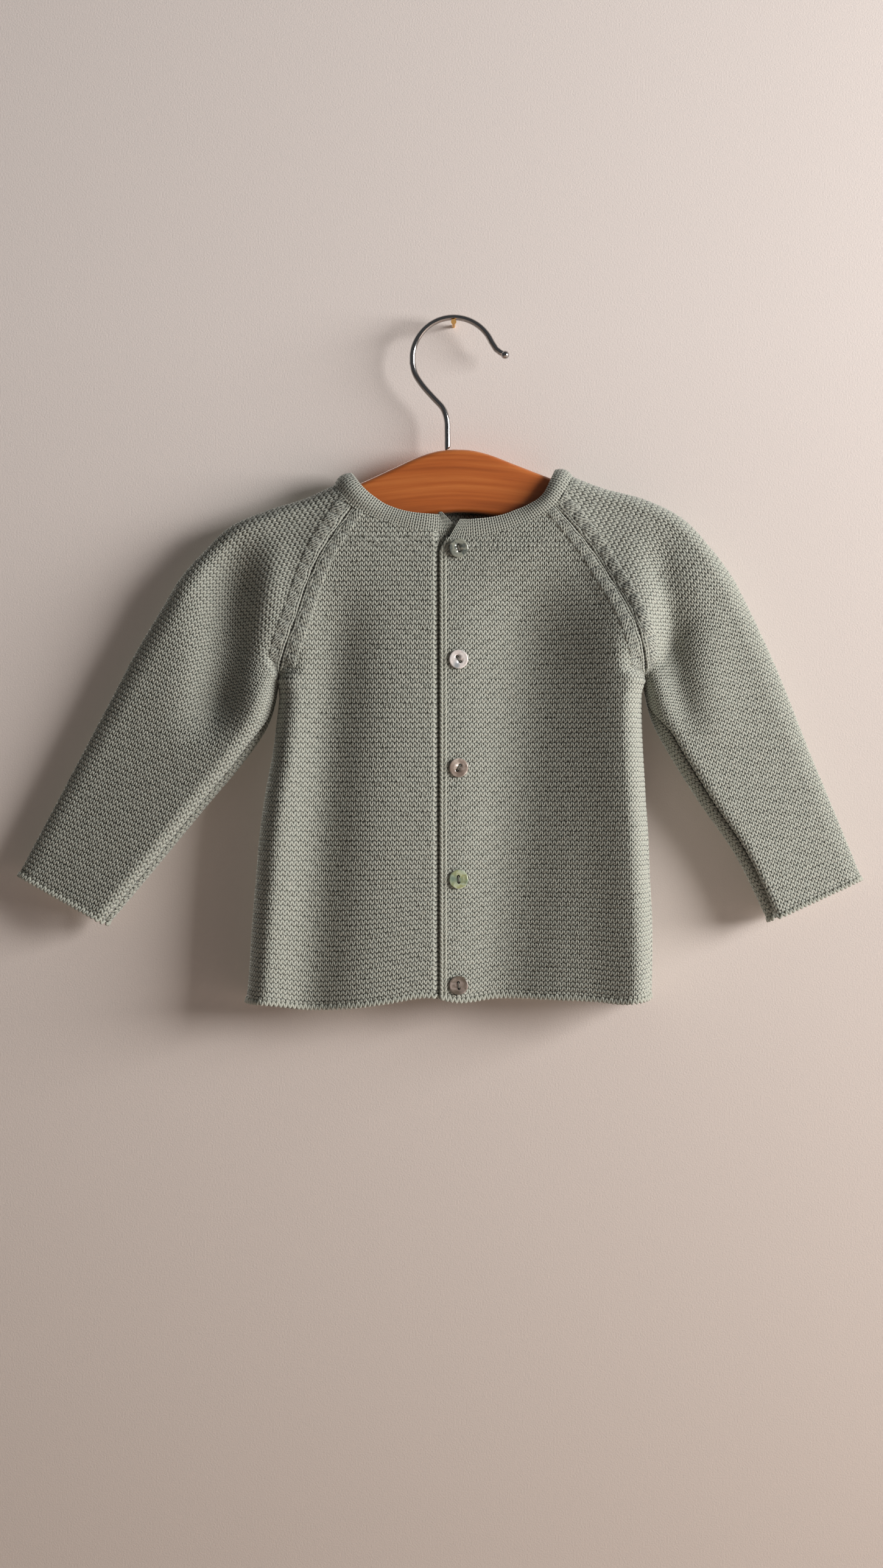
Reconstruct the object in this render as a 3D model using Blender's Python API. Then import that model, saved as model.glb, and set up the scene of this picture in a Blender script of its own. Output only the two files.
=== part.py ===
"""A baby cardigan in garter stitch with raglan sleeves, hanging on a small wooden hanger.

Sizes are in millimetres in the tables and functions, and turned into metres where a mesh is made.
+Z is up and the front faces -Y. X is positive towards the viewer's right, which is the wearer's left.
The origin is the highest point inside the hanger's hook, where a nail or rail holds it.
"""

import math

import bmesh
import bpy
import numpy as np
from mathutils import Matrix, Vector
from mathutils.kdtree import KDTree

MM = 0.001

# Cloth
WALL = 2.6  # thickness of the garter stitch
SEAM_GAP = 0.36  # between two pieces at a seam
UNDERARM_EASE = 2.0  # how much wider that gap is where four seams meet under the arm
UNDERARM_ROWS = 1.5  # and over how many rows
UNDERARM_PINCH = 0.6  # how much less the wall stands out there, where body and sleeve press on each other
UNDERARM_REACH = 11.0
MEETING = 0.05  # points of two pieces that are nearer than this are one place on a seam
CLOTH_SHARP = 50.0  # degrees, from which an edge is shown sharp
HEM_HEIGHT = -412.5
UNDERARM_HEIGHT = -219.0
NECK_HEIGHT = -113.5  # where a raglan line meets the neckband

# The fronts' edges at the middle, and how they lie on each other
FRONT_EDGE = {"left": 13.0, "right": -8.3}
NECK_EDGE = {"left": 6.0, "right": -4.4}  # the same edges at the neck
NECK_EDGE_RISE = 9.0  # height over which they come to that
OVERLAP_EASE = 10.0  # length over which the lower front dips under the upper one
OVERLAP_REACH = 5.0  # how far before the upper front's edge it has done so
OVERLAP_DIP = WALL + 0.8

# Sleeves, counted in garter ridges from the cuff
UNDERARM_RIDGE = 66.0
NECK_RIDGE = 101.0

# Raglan lines
ARMHOLE_RISE = 38.0  # height over which a raglan line comes from the underarm to the front
GROOVE_REACH = 17.0  # width of the hollow beside the lower end of a raglan line
JOIN_RISE = 9.0  # height over which the round side becomes that hollow
RAGLAN_CROWDING = 1.25  # how much closer the columns lie beside the raglan line
LEAF_HEIGHT = 0.7  # the slanted decrease stitches beside a raglan line
LEAF_AT = 8.0  # their distance from the seam
LEAF_WIDTH = 3.2
LEAF_BETWEEN = 0.15  # share of that height between two of them

# Panels, as grids of cloth points
ROWS_BELOW = 10  # from the hem or cuff to the underarm
ROWS_ABOVE = 24  # from the underarm to the neck, two to a decrease stitch
FIRST_RISE = 0.0115  # share of that height where one more row lies, because the raglan line turns fast there
FACE_STEPS = 5  # columns on the face of a front, a sleeve and half the back
SIDE_STEPS = 4  # columns in a body panel's round side
SIDE_SHARE = 0.16  # and the share of the panel that they take
BUTTON_STEPS = 3  # columns at a front's edge
BUTTON_SHARE = 0.22
SIDE_RADIUS = 12.0  # how far from the side seam the body's round sides reach
EDGE_STEPS = 3  # columns at each edge of a sleeve's front and back
EDGE_SHARE = 0.2

# Buttons
BUTTON_RADIUS = 5.7
BUTTON_THICK = 1.9
BUTTON_X = 2.9
BUTTON_HOLE_RADIUS = 0.85
BUTTON_HOLE_SPACING = 3.1
BUTTON_LIFT = 1.0  # from the cloth's face to the back of a button
BUTTON_SIDES = 16
BUTTON_SHARP = 35.0
BUTTON_HOLE_SIDES = 8
BUTTON_HOLE_DEPTH = 3 * BUTTON_THICK

# Hanger
BOARD_THICK = 12.0
BOARD_ROUNDING = 2.6
BOARD_END_RADIUS = 8.0
BOARD_TILT = 1.7  # degrees, its viewer's left end hanging lower
BOARD_MIDDLE = 40.0  # reach of its curved middle
BOARD_MIDDLE_STEPS = 6
BOARD_ARM_STEPS = 8
BOARD_END_STEPS = 8
BOARD_SHARP = 40.0
WIRE_RADIUS = 1.8
HOOK_RADIUS = 25.0  # to the wire's middle
BALL_RADIUS = 2.5
HOOK_NECK_STEPS = 11
HOOK_ARC_STEPS = 14

FINISHES = {
    "knit": {"colour": (0.30, 0.33, 0.27, 1), "roughness": 0.95, "metallic": 0.0},
    "shell": {"colour": (0.62, 0.60, 0.55, 1), "roughness": 0.25, "metallic": 0.0},
    "wood": {"colour": (0.48, 0.19, 0.06, 1), "roughness": 0.4, "metallic": 0.0},
    "chrome": {"colour": (0.75, 0.75, 0.76, 1), "roughness": 0.08, "metallic": 1.0},
}


def table(columns, *rows):
    """A table whose columns have names. The first column is the key, in rising order."""
    return {name: np.array(values, float) for name, values in zip(columns.split(), zip(*rows))}


# The side seams: where the body's cloth is widest at each height.
SIDES = table(
    "height left right",
    (-413.0, -123.7, 117.6),
    (-402.0, -122.4, 117.9),
    (-365.0, -120.0, 118.0),
    (-336.0, -117.6, 116.6),
    (-314.0, -115.8, 115.8),
    (-285.0, -111.9, 114.0),
    (-262.0, -107.6, 112.6),
    (-241.0, -105.0, 111.9),
    (-233.0, -104.2, 112.0),
    (-225.0, -104.4, 112.6),
    (-219.0, -105.8, 114.4),
)
# The raglan lines, from the underarm to the neck.
RAGLAN = table(
    "height left right",
    (-219.0, -105.8, 114.4),
    (-207.0, -103.6, 114.0),
    (-195.0, -100.0, 111.8),
    (-182.0, -95.3, 107.6),
    (-169.0, -91.2, 101.2),
    (-157.0, -87.0, 94.0),
    (-142.0, -80.2, 84.8),
    (-128.0, -71.2, 74.0),
    (-113.5, -60.8, 61.4),
)
# Half the body's depth: how far the cloth's middle lies in front of the hanger's plane, and behind it.
BODY_DEPTH = table(
    "height front back",
    (-413.0, 19.0, 12.5),
    (-330.0, 20.0, 13.0),
    (-260.0, 20.0, 13.0),
    (-219.0, 18.6, 12.6),
    (-180.0, 16.2, 11.8),
    (-150.0, 14.6, 11.0),
    (-130.0, 14.0, 10.4),
    (-113.0, 13.2, 10.2),
    (-92.0, 13.0, 10.2),
)
# The soft ridges (+) and troughs (-) of the hanging cloth. Each runs from a top point to a bottom point.
FOLDS = {
    "front": table(
        "top_z top_x bottom_x width depth",
        (-196.0, -98.0, -116.0, 13.0, 4.5),
        (-146.0, -66.0, -86.0, 17.0, -6.5),
        (-170.0, -30.0, -45.0, 24.0, 1.5),
        (-150.0, 68.0, 40.0, 25.0, -7.5),
        (-190.0, 104.0, 107.0, 17.0, 5.0),
        (-240.0, 10.0, 6.0, 14.0, 0.8),
    ),
    "back": table(
        "top_z top_x bottom_x width depth",
        (-190.0, -96.0, -108.0, 15.0, 2.0),
        (-160.0, -52.0, -66.0, 20.0, -3.4),
        (-200.0, -4.0, -12.0, 24.0, 1.2),
        (-165.0, 56.0, 48.0, 22.0, -3.8),
        (-200.0, 98.0, 104.0, 16.0, 2.2),
    ),
    "left": table(
        "top_z top_x bottom_x width depth",
        (-122.0, -126.0, -139.0, 13.0, -7.0),
        (-122.0, -106.0, -116.0, 12.0, 2.4),
    ),
    "right": table(
        "top_z top_x bottom_x width depth",
        (-122.0, 122.0, 134.0, 12.0, -7.5),
        (-122.0, 146.0, 156.0, 15.0, 2.4),
    ),
}
FOLD_EASE = 70.0  # height over which a body fold begins
SLEEVE_FOLD_EASE = 42.0
SLEEVE_FOLD_BOTTOM = -250.0
SLEEVE_FOLD_END = -225.0  # below this height a sleeve's folds fade out
SLEEVE_FOLD_FADE = 40.0
SLEEVE_FOLD_EDGE = 30.0  # they also fade this near the underarm and the raglan line
BACK_FOLD_SHARE = 0.6  # how much of a sleeve's fold its back has
# The hem's line, as its height above HEM_HEIGHT.
HEM_LINE = table(
    "x rise",
    (-126.0, 1.8),
    (-110.0, 0.0),
    (-90.0, -3.2),
    (-62.0, -2.6),
    (-40.0, 0.6),
    (-14.0, 3.2),
    (2.0, 0.6),
    (24.0, 3.2),
    (58.0, 3.4),
    (84.0, 1.6),
    (106.0, -0.6),
    (120.0, 1.4),
)
HEM_REACH = 110.0  # height over which the rows level out above the hem

# The sleeves' upper and lower edges at each ridge, up to the underarm.
TUBE = {
    "left": table(
        "ridge outer_x outer_z inner_x inner_z",
        (0.0, -261.4, -336.0, -209.6, -364.0),
        (15.0, -240.0, -295.6, -179.6, -328.0),
        (30.0, -218.7, -255.2, -149.6, -291.6),
        (42.0, -201.7, -223.0, -127.0, -264.6),
        (50.0, -190.6, -201.8, -114.8, -246.8),
        (58.0, -177.8, -180.2, -109.2, -232.2),
        (66.0, -165.0, -158.6, -105.8, -219.0),
    ),
    "right": table(
        "ridge outer_x outer_z inner_x inner_z",
        (0.0, 245.0, -338.2, 191.0, -362.0),
        (15.0, 228.4, -297.6, 171.6, -322.6),
        (30.0, 211.6, -257.0, 148.4, -288.6),
        (42.0, 198.8, -224.4, 130.4, -259.6),
        (50.0, 189.7, -202.6, 122.0, -244.0),
        (58.0, 179.2, -180.2, 117.8, -231.4),
        (66.0, 168.4, -158.6, 114.4, -219.0),
    ),
}
# The shoulder lines above the underarm.
SHOULDER = {
    "left": table(
        "ridge outer_x outer_z",
        (66.0, -165.0, -158.6),
        (70.0, -157.6, -149.4),
        (74.0, -149.4, -140.8),
        (80.0, -135.2, -127.0),
        (88.0, -112.0, -116.5),
        (96.0, -87.4, -108.6),
        (101.0, -71.4, -101.2),
    ),
    "right": table(
        "ridge outer_x outer_z",
        (66.0, 168.4, -158.6),
        (70.0, 161.4, -148.2),
        (74.0, 152.8, -137.4),
        (80.0, 138.6, -122.2),
        (88.0, 115.0, -109.9),
        (96.0, 89.2, -102.9),
        (101.0, 71.4, -96.2),
    ),
}
# A sleeve's section: half its depth and the roundness of its two edges.
SLEEVE_SECTION = table(
    "ridge depth outer_round inner_round",
    (0.0, 8.0, 8.0, 8.0),
    (20.0, 9.6, 9.0, 9.5),
    (45.0, 12.6, 11.0, 11.5),
    (60.0, 14.0, 11.0, 11.0),
    (70.0, 13.0, 9.0, 10.0),
    (80.0, 11.2, 7.0, 10.0),
    (90.0, 10.6, 6.2, 10.0),
    (101.0, 10.6, 6.2, 10.0),
)
# How far the seams at the sides lie round towards the front, in degrees.
SLEEVE_SEAM_TURN = {"left": 6.0, "right": 34.0}
SLEEVE_SEAM_RIDGES = (44.0, 62.0)  # where that turn fades out
SIDE_SEAM_TURN = {"left": 0.0, "right": 26.0}
SIDE_SEAM_HEIGHTS = (-322.0, -262.0)

# The neckline of the fronts and the back, and the neckband on it
NECK_DIP = {"front": {"left": 13.5, "right": 16.5}, "back": {"left": 3.0, "right": 3.0}}
NECK_BEND_HEIGHT = 62.0  # height over which the rows bend to follow the neckline
NECK_SQUARENESS = 2.6
BAND_THICK = 2.8
BAND_ROWS = 4
# How the band leans from its seam to its free edge.
BAND_LEAN = table(
    "x inward up",
    (0.0, 0.0, 11.8),
    (27.0, 2.2, 10.8),
    (45.0, 4.6, 10.6),
    (60.0, 7.0, 10.0),
    (67.0, 9.4, 9.4),
    (72.0, 10.8, 9.2),
)
BAND_NARROWING = 0.12  # how much less deep the ring is at its free edge
BAND_END_SLANT = {"left": -11.0, "right": 6.0}  # the free edge at the band's two ends
BAND_END_REACH = 16.0

BUTTONS = table(
    "number height turn tilt",
    (1, -138.6, 14.0, 4.0),
    (2, -205.4, 32.0, -3.0),
    (3, -270.2, -28.0, 3.0),
    (4, -337.0, 4.0, -2.0),
    (5, -400.4, 7.0, 2.0),
)
# A button's turned section.
BUTTON_SECTION = table(
    "step radius height",
    (0, 0.0, 0.0),
    (1, BUTTON_RADIUS - 0.7, 0.0),
    (2, BUTTON_RADIUS, 0.5),
    (3, BUTTON_RADIUS, BUTTON_THICK - 0.45),
    (4, BUTTON_RADIUS - 0.5, BUTTON_THICK),
    (5, BUTTON_RADIUS - 1.5, BUTTON_THICK - 0.15),
    (6, 0.0, BUTTON_THICK - 0.35),
)
# The board of the hanger, the same on both sides.
BOARD = table(
    "reach top bottom",
    (0.0, -78.2, -116.2),
    (10.0, -79.0, -116.8),
    (20.0, -81.6, -118.4),
    (36.0, -88.2, -122.6),
    (54.0, -95.8, -128.2),
    (74.0, -103.6, -134.2),
    (94.0, -110.4, -138.6),
    (112.0, -116.2, -142.4),
    (126.0, -122.4, -144.8),
)
# The hook's wire between the board and its round part.
HOOK_NECK = table(
    "height x",
    (-79.2, -3.7),
    (-68.0, -3.8),
    (-59.6, -4.2),
    (-53.0, -6.6),
    (-46.6, -12.4),
    (-39.6, -18.6),
    (-32.0, -23.4),
    (-26.0, -24.9),
)
HOOK_ARC = (175.0, 24.0)  # from and to, in degrees
HOOK_FLICK = ((25.6, -17.4), (28.2, -19.4), (31.0, -20.8))  # the bent-out end


def smooth(source, name, at):
    """The value of one column where the key column has the value at, on a smooth curve through the rows."""
    keys = next(iter(source.values()))
    values = source[name]
    at = np.clip(np.asarray(at, float), keys[0], keys[-1])
    step = np.diff(keys)
    slope = np.diff(values) / step
    tangent = np.empty_like(values)
    tangent[0], tangent[-1] = slope[0], slope[-1]
    tangent[1:-1] = (slope[:-1] * step[1:] + slope[1:] * step[:-1]) / (step[1:] + step[:-1])
    i = np.clip(np.searchsorted(keys, at, side="right") - 1, 0, len(step) - 1)
    t = (at - keys[i]) / step[i]
    t2, t3 = t * t, t * t * t
    return (
        (2 * t3 - 3 * t2 + 1) * values[i]
        + (t3 - 2 * t2 + t) * step[i] * tangent[i]
        + (3 * t2 - 2 * t3) * values[i + 1]
        + (t3 - t2) * step[i] * tangent[i + 1]
    )


def ease(value):
    """0 below 0, 1 above 1, and a soft step between."""
    t = np.clip(value, 0.0, 1.0)
    return t * t * (3 - 2 * t)


def mix(a, b, share):
    return a + (b - a) * share


def folds(source, x, z, begin, bottom):
    """The sum of the soft folds at a point."""
    total = np.zeros(np.broadcast(x, z).shape)
    for top_z, top_x, bottom_x, width, depth in zip(*source.values()):
        down = np.clip((top_z - z) / (top_z - bottom), 0, 1)
        middle = mix(top_x, bottom_x, down)
        total += depth * ease((top_z - z) / begin) * np.exp(-(((x - middle) / width) ** 2))
    return total


def body_depth(face, x, z):
    """How far the body's cloth lies from the hanger's plane."""
    return smooth(BODY_DEPTH, face, z) + folds(FOLDS[face], x, z, FOLD_EASE, HEM_HEIGHT)


def boundary_x(side, z):
    """The outer edge of the body panels: the side seam, and the raglan line above it."""
    return np.where(z < UNDERARM_HEIGHT, smooth(SIDES, side, z), smooth(RAGLAN, side, z))


def raglan_share(z):
    """How far the raglan line has come from the middle plane at the underarm to the garment's face."""
    rise = np.clip((z - UNDERARM_HEIGHT) / ARMHOLE_RISE, 0, 1)
    return np.sqrt(1 - (1 - rise) ** 2)


def front_edge_x(side, z):
    """Where a front ends at the garment's middle."""
    return mix(FRONT_EDGE[side], NECK_EDGE[side], ease((z - NECK_HEIGHT) / NECK_EDGE_RISE + 1))


def hem_rise(x, z):
    """The rows near the hem follow its line."""
    return smooth(HEM_LINE, "rise", x) * (1 - ease((z - HEM_HEIGHT) / HEM_REACH))


def neck_bend(side, face, x, z):
    """The rows near the neck bend down to its line."""
    across = np.clip(np.abs(x / smooth(RAGLAN, side, NECK_HEIGHT)), 0, 1)
    line = -NECK_DIP[face][side] * np.sqrt(1 - across**NECK_SQUARENESS)
    return line * ease((z - NECK_HEIGHT) / NECK_BEND_HEIGHT + 1)


def body_point(side, face, share, z):
    """A point of the cloth's middle. Share 0 is the side seam or raglan line, 1 is the panel's inner end."""
    outward = -1.0 if side == "left" else 1.0
    facing = -1.0 if face == "front" else 1.0
    other = "back" if face == "front" else "front"
    edge_x = boundary_x(side, z)
    inner_x = front_edge_x(side, z) if face == "front" else 0.0
    length = (edge_x - inner_x) * outward
    low, high = SIDE_SEAM_HEIGHTS
    turned = math.radians(SIDE_SEAM_TURN[side]) * (1 - ease((z - low) / (high - low)))
    start = math.pi / 2 + facing * turned
    arc = start * (SIDE_RADIUS + smooth(BODY_DEPTH, face, z)) / 2
    travelled = share * (arc + length - SIDE_RADIUS)
    angle = start * (1 - np.clip(travelled / arc, 0, 1))
    round_c = SIDE_RADIUS * (1 - np.sin(angle)) + np.clip(travelled - arc, 0, None)
    level_c = length * share**RAGLAN_CROWDING
    level = ease((z - UNDERARM_HEIGHT) / JOIN_RISE)
    x = edge_x - outward * mix(round_c, level_c, level)
    w = mix(np.cos(angle), ease(level_c / GROOVE_REACH), level)
    depth = body_depth(face, x, z)
    depth = np.where(w < 0, body_depth(other, x, z), depth)
    edge_depth = body_depth(face, edge_x, z) * raglan_share(z)
    y = facing * mix(edge_depth, depth, w)
    if face == "front" and side == "left":
        y = y + OVERLAP_DIP * ease((x + OVERLAP_REACH - FRONT_EDGE["right"]) / OVERLAP_EASE + 1)
    return np.stack([x, y, z + hem_rise(x, z) + neck_bend(side, face, x, z)], axis=-1)


def sleeve_line(side, ridge):
    """The upper edge of a sleeve and shoulder, and its lower end, the raglan line above the underarm."""
    tube, shoulder = TUBE[side], SHOULDER[side]
    low = ridge <= UNDERARM_RIDGE
    outer_x = np.where(low, smooth(tube, "outer_x", ridge), smooth(shoulder, "outer_x", ridge))
    outer_z = np.where(low, smooth(tube, "outer_z", ridge), smooth(shoulder, "outer_z", ridge))
    up = np.clip((ridge - UNDERARM_RIDGE) / (NECK_RIDGE - UNDERARM_RIDGE), 0, 1)
    raglan_z = mix(UNDERARM_HEIGHT, NECK_HEIGHT, up)
    end_x = np.where(low, smooth(tube, "inner_x", ridge), boundary_x(side, raglan_z))
    end_z = np.where(low, smooth(tube, "inner_z", ridge), raglan_z)
    return outer_x, outer_z, end_x, end_z


def sleeve_point(side, face, share, ridge):
    """A point of the cloth's middle. Share 0 is the sleeve's upper edge, 1 its underarm seam or raglan line."""
    facing = -1.0 if face == "front" else 1.0
    outer_x, outer_z, end_x, end_z = sleeve_line(side, ridge)
    length = np.hypot(end_x - outer_x, end_z - outer_z)
    depth = smooth(SLEEVE_SECTION, "depth", ridge)
    outer_round = smooth(SLEEVE_SECTION, "outer_round", ridge)
    inner_round = smooth(SLEEVE_SECTION, "inner_round", ridge)
    above = np.clip(end_z - UNDERARM_HEIGHT, 0, None) * (ridge > UNDERARM_RIDGE)
    level = ease(above / JOIN_RISE)
    first, last = SLEEVE_SEAM_RIDGES
    turned = math.radians(SLEEVE_SEAM_TURN[side]) * (1 - ease((ridge - first) / (last - first)))
    final = math.pi / 2 + facing * turned

    # below the underarm: round, flat, round
    outer_arc = math.pi / 2 * (outer_round + depth) / 2
    inner_arc = final * (inner_round + depth) / 2
    flat = length - outer_round - inner_round
    travelled = share * (outer_arc + flat + inner_arc)
    outer_angle = math.pi / 2 * (1 - np.clip(travelled / outer_arc, 0, 1))
    inner_angle = final * np.clip((travelled - outer_arc - flat) / inner_arc, 0, 1)
    middle = np.clip(travelled - outer_arc, 0, flat)
    round_c = outer_round * (1 - np.sin(outer_angle)) + middle + inner_round * np.sin(inner_angle)

    # above it: round at the shoulder, then level to the raglan line
    travelled = share * (outer_arc + length - outer_round)
    level_angle = math.pi / 2 * (1 - np.clip(travelled / outer_arc, 0, 1))
    level_c = outer_round * (1 - np.sin(level_angle)) + np.clip(travelled - outer_arc, 0, None)

    c = mix(round_c, level_c, level)
    x = mix(outer_x, end_x, c / length)
    z = mix(outer_z, end_z, c / length)
    outer_w = mix(np.cos(outer_angle), np.cos(level_angle), level)
    end_w = mix(np.cos(inner_angle), ease((length - level_c) / GROOVE_REACH), level)
    body = body_depth(face, end_x, end_z)
    full = mix(depth, body, ease(c / length) * ease(above / ARMHOLE_RISE))
    strength = 1.0 if face == "front" else BACK_FOLD_SHARE
    faded = ease((length - c) / SLEEVE_FOLD_EDGE) * (1 - ease((SLEEVE_FOLD_END - z) / SLEEVE_FOLD_FADE))
    full = full + strength * faded * folds(FOLDS[side], x, z, SLEEVE_FOLD_EASE, SLEEVE_FOLD_BOTTOM)
    end_depth = body * raglan_share(end_z) * (ridge > UNDERARM_RIDGE)
    y = facing * outer_w * mix(end_depth, full, end_w)
    return np.stack([x, y, z], axis=-1)


def leaves(distance, row):
    """The slanted decrease stitches that stand up beside a raglan line, on every second row of points."""
    lifted = np.where(row % 2 == 0, 1.0, LEAF_BETWEEN) * (row > 0)
    return LEAF_HEIGHT * lifted * np.exp(-(((distance - LEAF_AT) / LEAF_WIDTH) ** 2))


def row_places(hem, underarm, neck):
    """Rows from the hem or cuff to the underarm, and from there to the neck."""
    rises = np.insert(np.linspace(0, 1, ROWS_ABOVE + 1), 1, FIRST_RISE)
    return np.concatenate([np.linspace(hem, underarm, ROWS_BELOW + 1)[:-1], mix(underarm, neck, rises)])


def body_half(side, face):
    """Points and raised stitches of a body panel, from its outer edge to the middle."""
    last = 1 - BUTTON_SHARE if face == "front" else 1.0
    shares = [np.linspace(0, SIDE_SHARE, SIDE_STEPS + 1)[:-1], np.linspace(SIDE_SHARE, last, FACE_STEPS + 1)]
    if face == "front":
        shares.append(np.linspace(last, 1, BUTTON_STEPS + 1)[1:])
    heights = row_places(HEM_HEIGHT, UNDERARM_HEIGHT, NECK_HEIGHT)
    z, share = np.meshgrid(heights, np.concatenate(shares), indexing="ij")
    row = np.arange(len(z))[:, None] - ROWS_BELOW
    points = body_point(side, face, share, z)
    distance = np.abs(points[..., 0] - boundary_x(side, z))
    return points, leaves(distance, row)


def back_panel():
    """The back in one piece, from side seam to side seam."""
    halves = [body_half(side, "back") for side in ("left", "right")]
    return tuple(np.concatenate([left, right[:, -2::-1]], axis=1) for left, right in zip(*halves))


def sleeve_panel(side):
    """A sleeve in one piece: from the seam over the front, the upper edge and the back to the seam again."""
    ridges = row_places(0, UNDERARM_RIDGE, NECK_RIDGE)
    shares = [
        np.linspace(0, EDGE_SHARE, EDGE_STEPS + 1)[:-1],
        np.linspace(EDGE_SHARE, 1 - EDGE_SHARE, FACE_STEPS + 1)[:-1],
        np.linspace(1 - EDGE_SHARE, 1, EDGE_STEPS + 1),
    ]
    ridge, share = np.meshgrid(ridges, np.concatenate(shares), indexing="ij")
    row = np.arange(len(ridge))[:, None] - ROWS_BELOW
    end_x, end_z = sleeve_line(side, ridge)[2:]
    faces = []
    for face in ("front", "back"):
        points = sleeve_point(side, face, share, ridge)
        distance = np.hypot(end_x - points[..., 0], end_z - points[..., 2])
        faces.append((points, leaves(distance, row)))
    return tuple(np.concatenate([front[:, ::-1], back[:, 1:]], axis=1) for front, back in zip(*faces))


def neckband_panel(panels):
    """The band stands on the top rows of the five pieces and leans in, its two ends cut on a slant."""
    top = {name: points[-1] for name, (points, _) in panels.items()}
    parts = [
        top["front_right"][::-1],
        top["sleeve_right"][1:],
        top["back"][1:],
        top["sleeve_left"][-2::-1],
        top["front_left"][1:],
    ]
    seam = np.concatenate(parts)
    x, y = seam[:, 0], seam[:, 1]
    inward = -np.sign(x) * smooth(BAND_LEAN, "inward", np.abs(x))
    for side, end in (("left", 0), ("right", -1)):
        half = np.arange(len(seam)) < len(seam) / 2
        half = half if end == 0 else ~half
        inward += BAND_END_SLANT[side] * ease(1 - np.abs(x - x[end]) / BAND_END_REACH) * half * (y < 0)
    lean = np.stack([inward, -BAND_NARROWING * y, smooth(BAND_LEAN, "up", np.abs(x))], axis=-1)
    share = np.linspace(0, 1, BAND_ROWS)[:, None, None]
    return seam + lean * share, np.zeros((BAND_ROWS, len(seam)))


def unit(vectors):
    return vectors / np.maximum(np.linalg.norm(vectors, axis=-1, keepdims=True), 1e-9)


def outward_normals(panels):
    """The direction of each panel's thickness. Pieces that meet at a seam share it there."""
    normals = []
    for points, _ in panels.values():
        normal = unit(np.cross(np.gradient(points, axis=1), np.gradient(points, axis=0)))
        normals.append(normal * np.sign(np.sum(normal[..., 1] * points[..., 1])))
    places = np.concatenate([points.reshape(-1, 3) for points, _ in panels.values()])
    flat = np.concatenate([normal.reshape(-1, 3) for normal in normals])
    tree = KDTree(len(places))
    for i, place in enumerate(places):
        tree.insert(place, i)
    tree.balance()
    flat = unit(np.array([sum(flat[i] for _, i, _ in tree.find_range(place, MEETING)) for place in places]))
    ends = np.cumsum([normal.size // 3 for normal in normals])
    return [part.reshape(normal.shape) for part, normal in zip(np.split(flat, ends[:-1]), normals)]


def pulled_in(points, gap, edges):
    """The points with the named border lines moved inwards by gap, square to the border.

    Round the underarm, where four seams meet, they also move towards the middle of their piece.
    """
    points = points.copy()
    middle = points.mean(axis=(0, 1))
    for edge in edges.split():
        lines = points if edge.endswith("row") else points.transpose(1, 0, 2)
        border, inner = (0, 1) if edge.startswith("first") else (-1, -2)
        along = unit(np.gradient(lines[border], axis=0))
        inward = lines[inner] - lines[border]
        inward = unit(inward - along * np.sum(inward * along, axis=-1, keepdims=True))
        if edge.endswith("column"):
            rows_off = (np.arange(len(inward)) - ROWS_BELOW) / UNDERARM_ROWS
            inward += unit(middle - lines[border]) * UNDERARM_EASE * np.exp(-(rows_off**2))[:, None]
        lines[border] += inward * gap
    return points


def new_object(name, mesh, material):
    obj = bpy.data.objects.new(name, mesh)
    bpy.context.scene.collection.objects.link(obj)
    obj.data.materials.clear()
    obj.data.materials.append(material)
    return obj


def mesh_of(name, bm, sharp_angle):
    mesh = bpy.data.meshes.new(name)
    bm.to_mesh(mesh)
    bm.free()
    mesh.shade_smooth()
    mesh.set_sharp_from_angle(angle=math.radians(sharp_angle))
    return mesh


def cloth_shell(name, points, normal, raised, thick, material):
    """A closed wall round the points in the middle of the cloth. Its outer face also has the raised stitches."""
    pinch = np.ones(points.shape[:2])
    for side in ("left", "right"):
        underarm = np.array([smooth(RAGLAN, side, UNDERARM_HEIGHT), 0, UNDERARM_HEIGHT])
        away = np.linalg.norm(points - underarm, axis=-1)
        pinch -= UNDERARM_PINCH * np.exp(-((away / UNDERARM_REACH) ** 2))
    outer = points + normal * (thick / 2 * pinch + raised)[..., None]
    inner = points - normal * thick / 2
    rows, columns = points.shape[:2]
    bm = bmesh.new()
    layers = []
    for layer in (outer, inner):
        made = bmesh.ops.create_grid(bm, x_segments=columns - 1, y_segments=rows - 1, size=1)
        verts = sorted(made["verts"], key=lambda v: (round(v.co.y, 6), round(v.co.x, 6)))
        for v, point in zip(verts, layer.reshape(-1, 3)):
            v.co = Vector(point) * MM
        layers.append(verts)
    border = (
        list(range(columns))
        + [row * columns + columns - 1 for row in range(1, rows)]
        + [(rows - 1) * columns + column for column in range(columns - 2, -1, -1)]
        + [row * columns for row in range(rows - 2, 0, -1)]
    )
    for a, b in zip(border, border[1:] + border[:1]):
        bm.faces.new((layers[0][a], layers[0][b], layers[1][b], layers[1][a]))
    bmesh.ops.recalc_face_normals(bm, faces=bm.faces[:])
    bmesh.ops.triangulate(bm, faces=bm.faces[:])
    return new_object(name, mesh_of(name, bm, CLOTH_SHARP), material)


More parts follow.
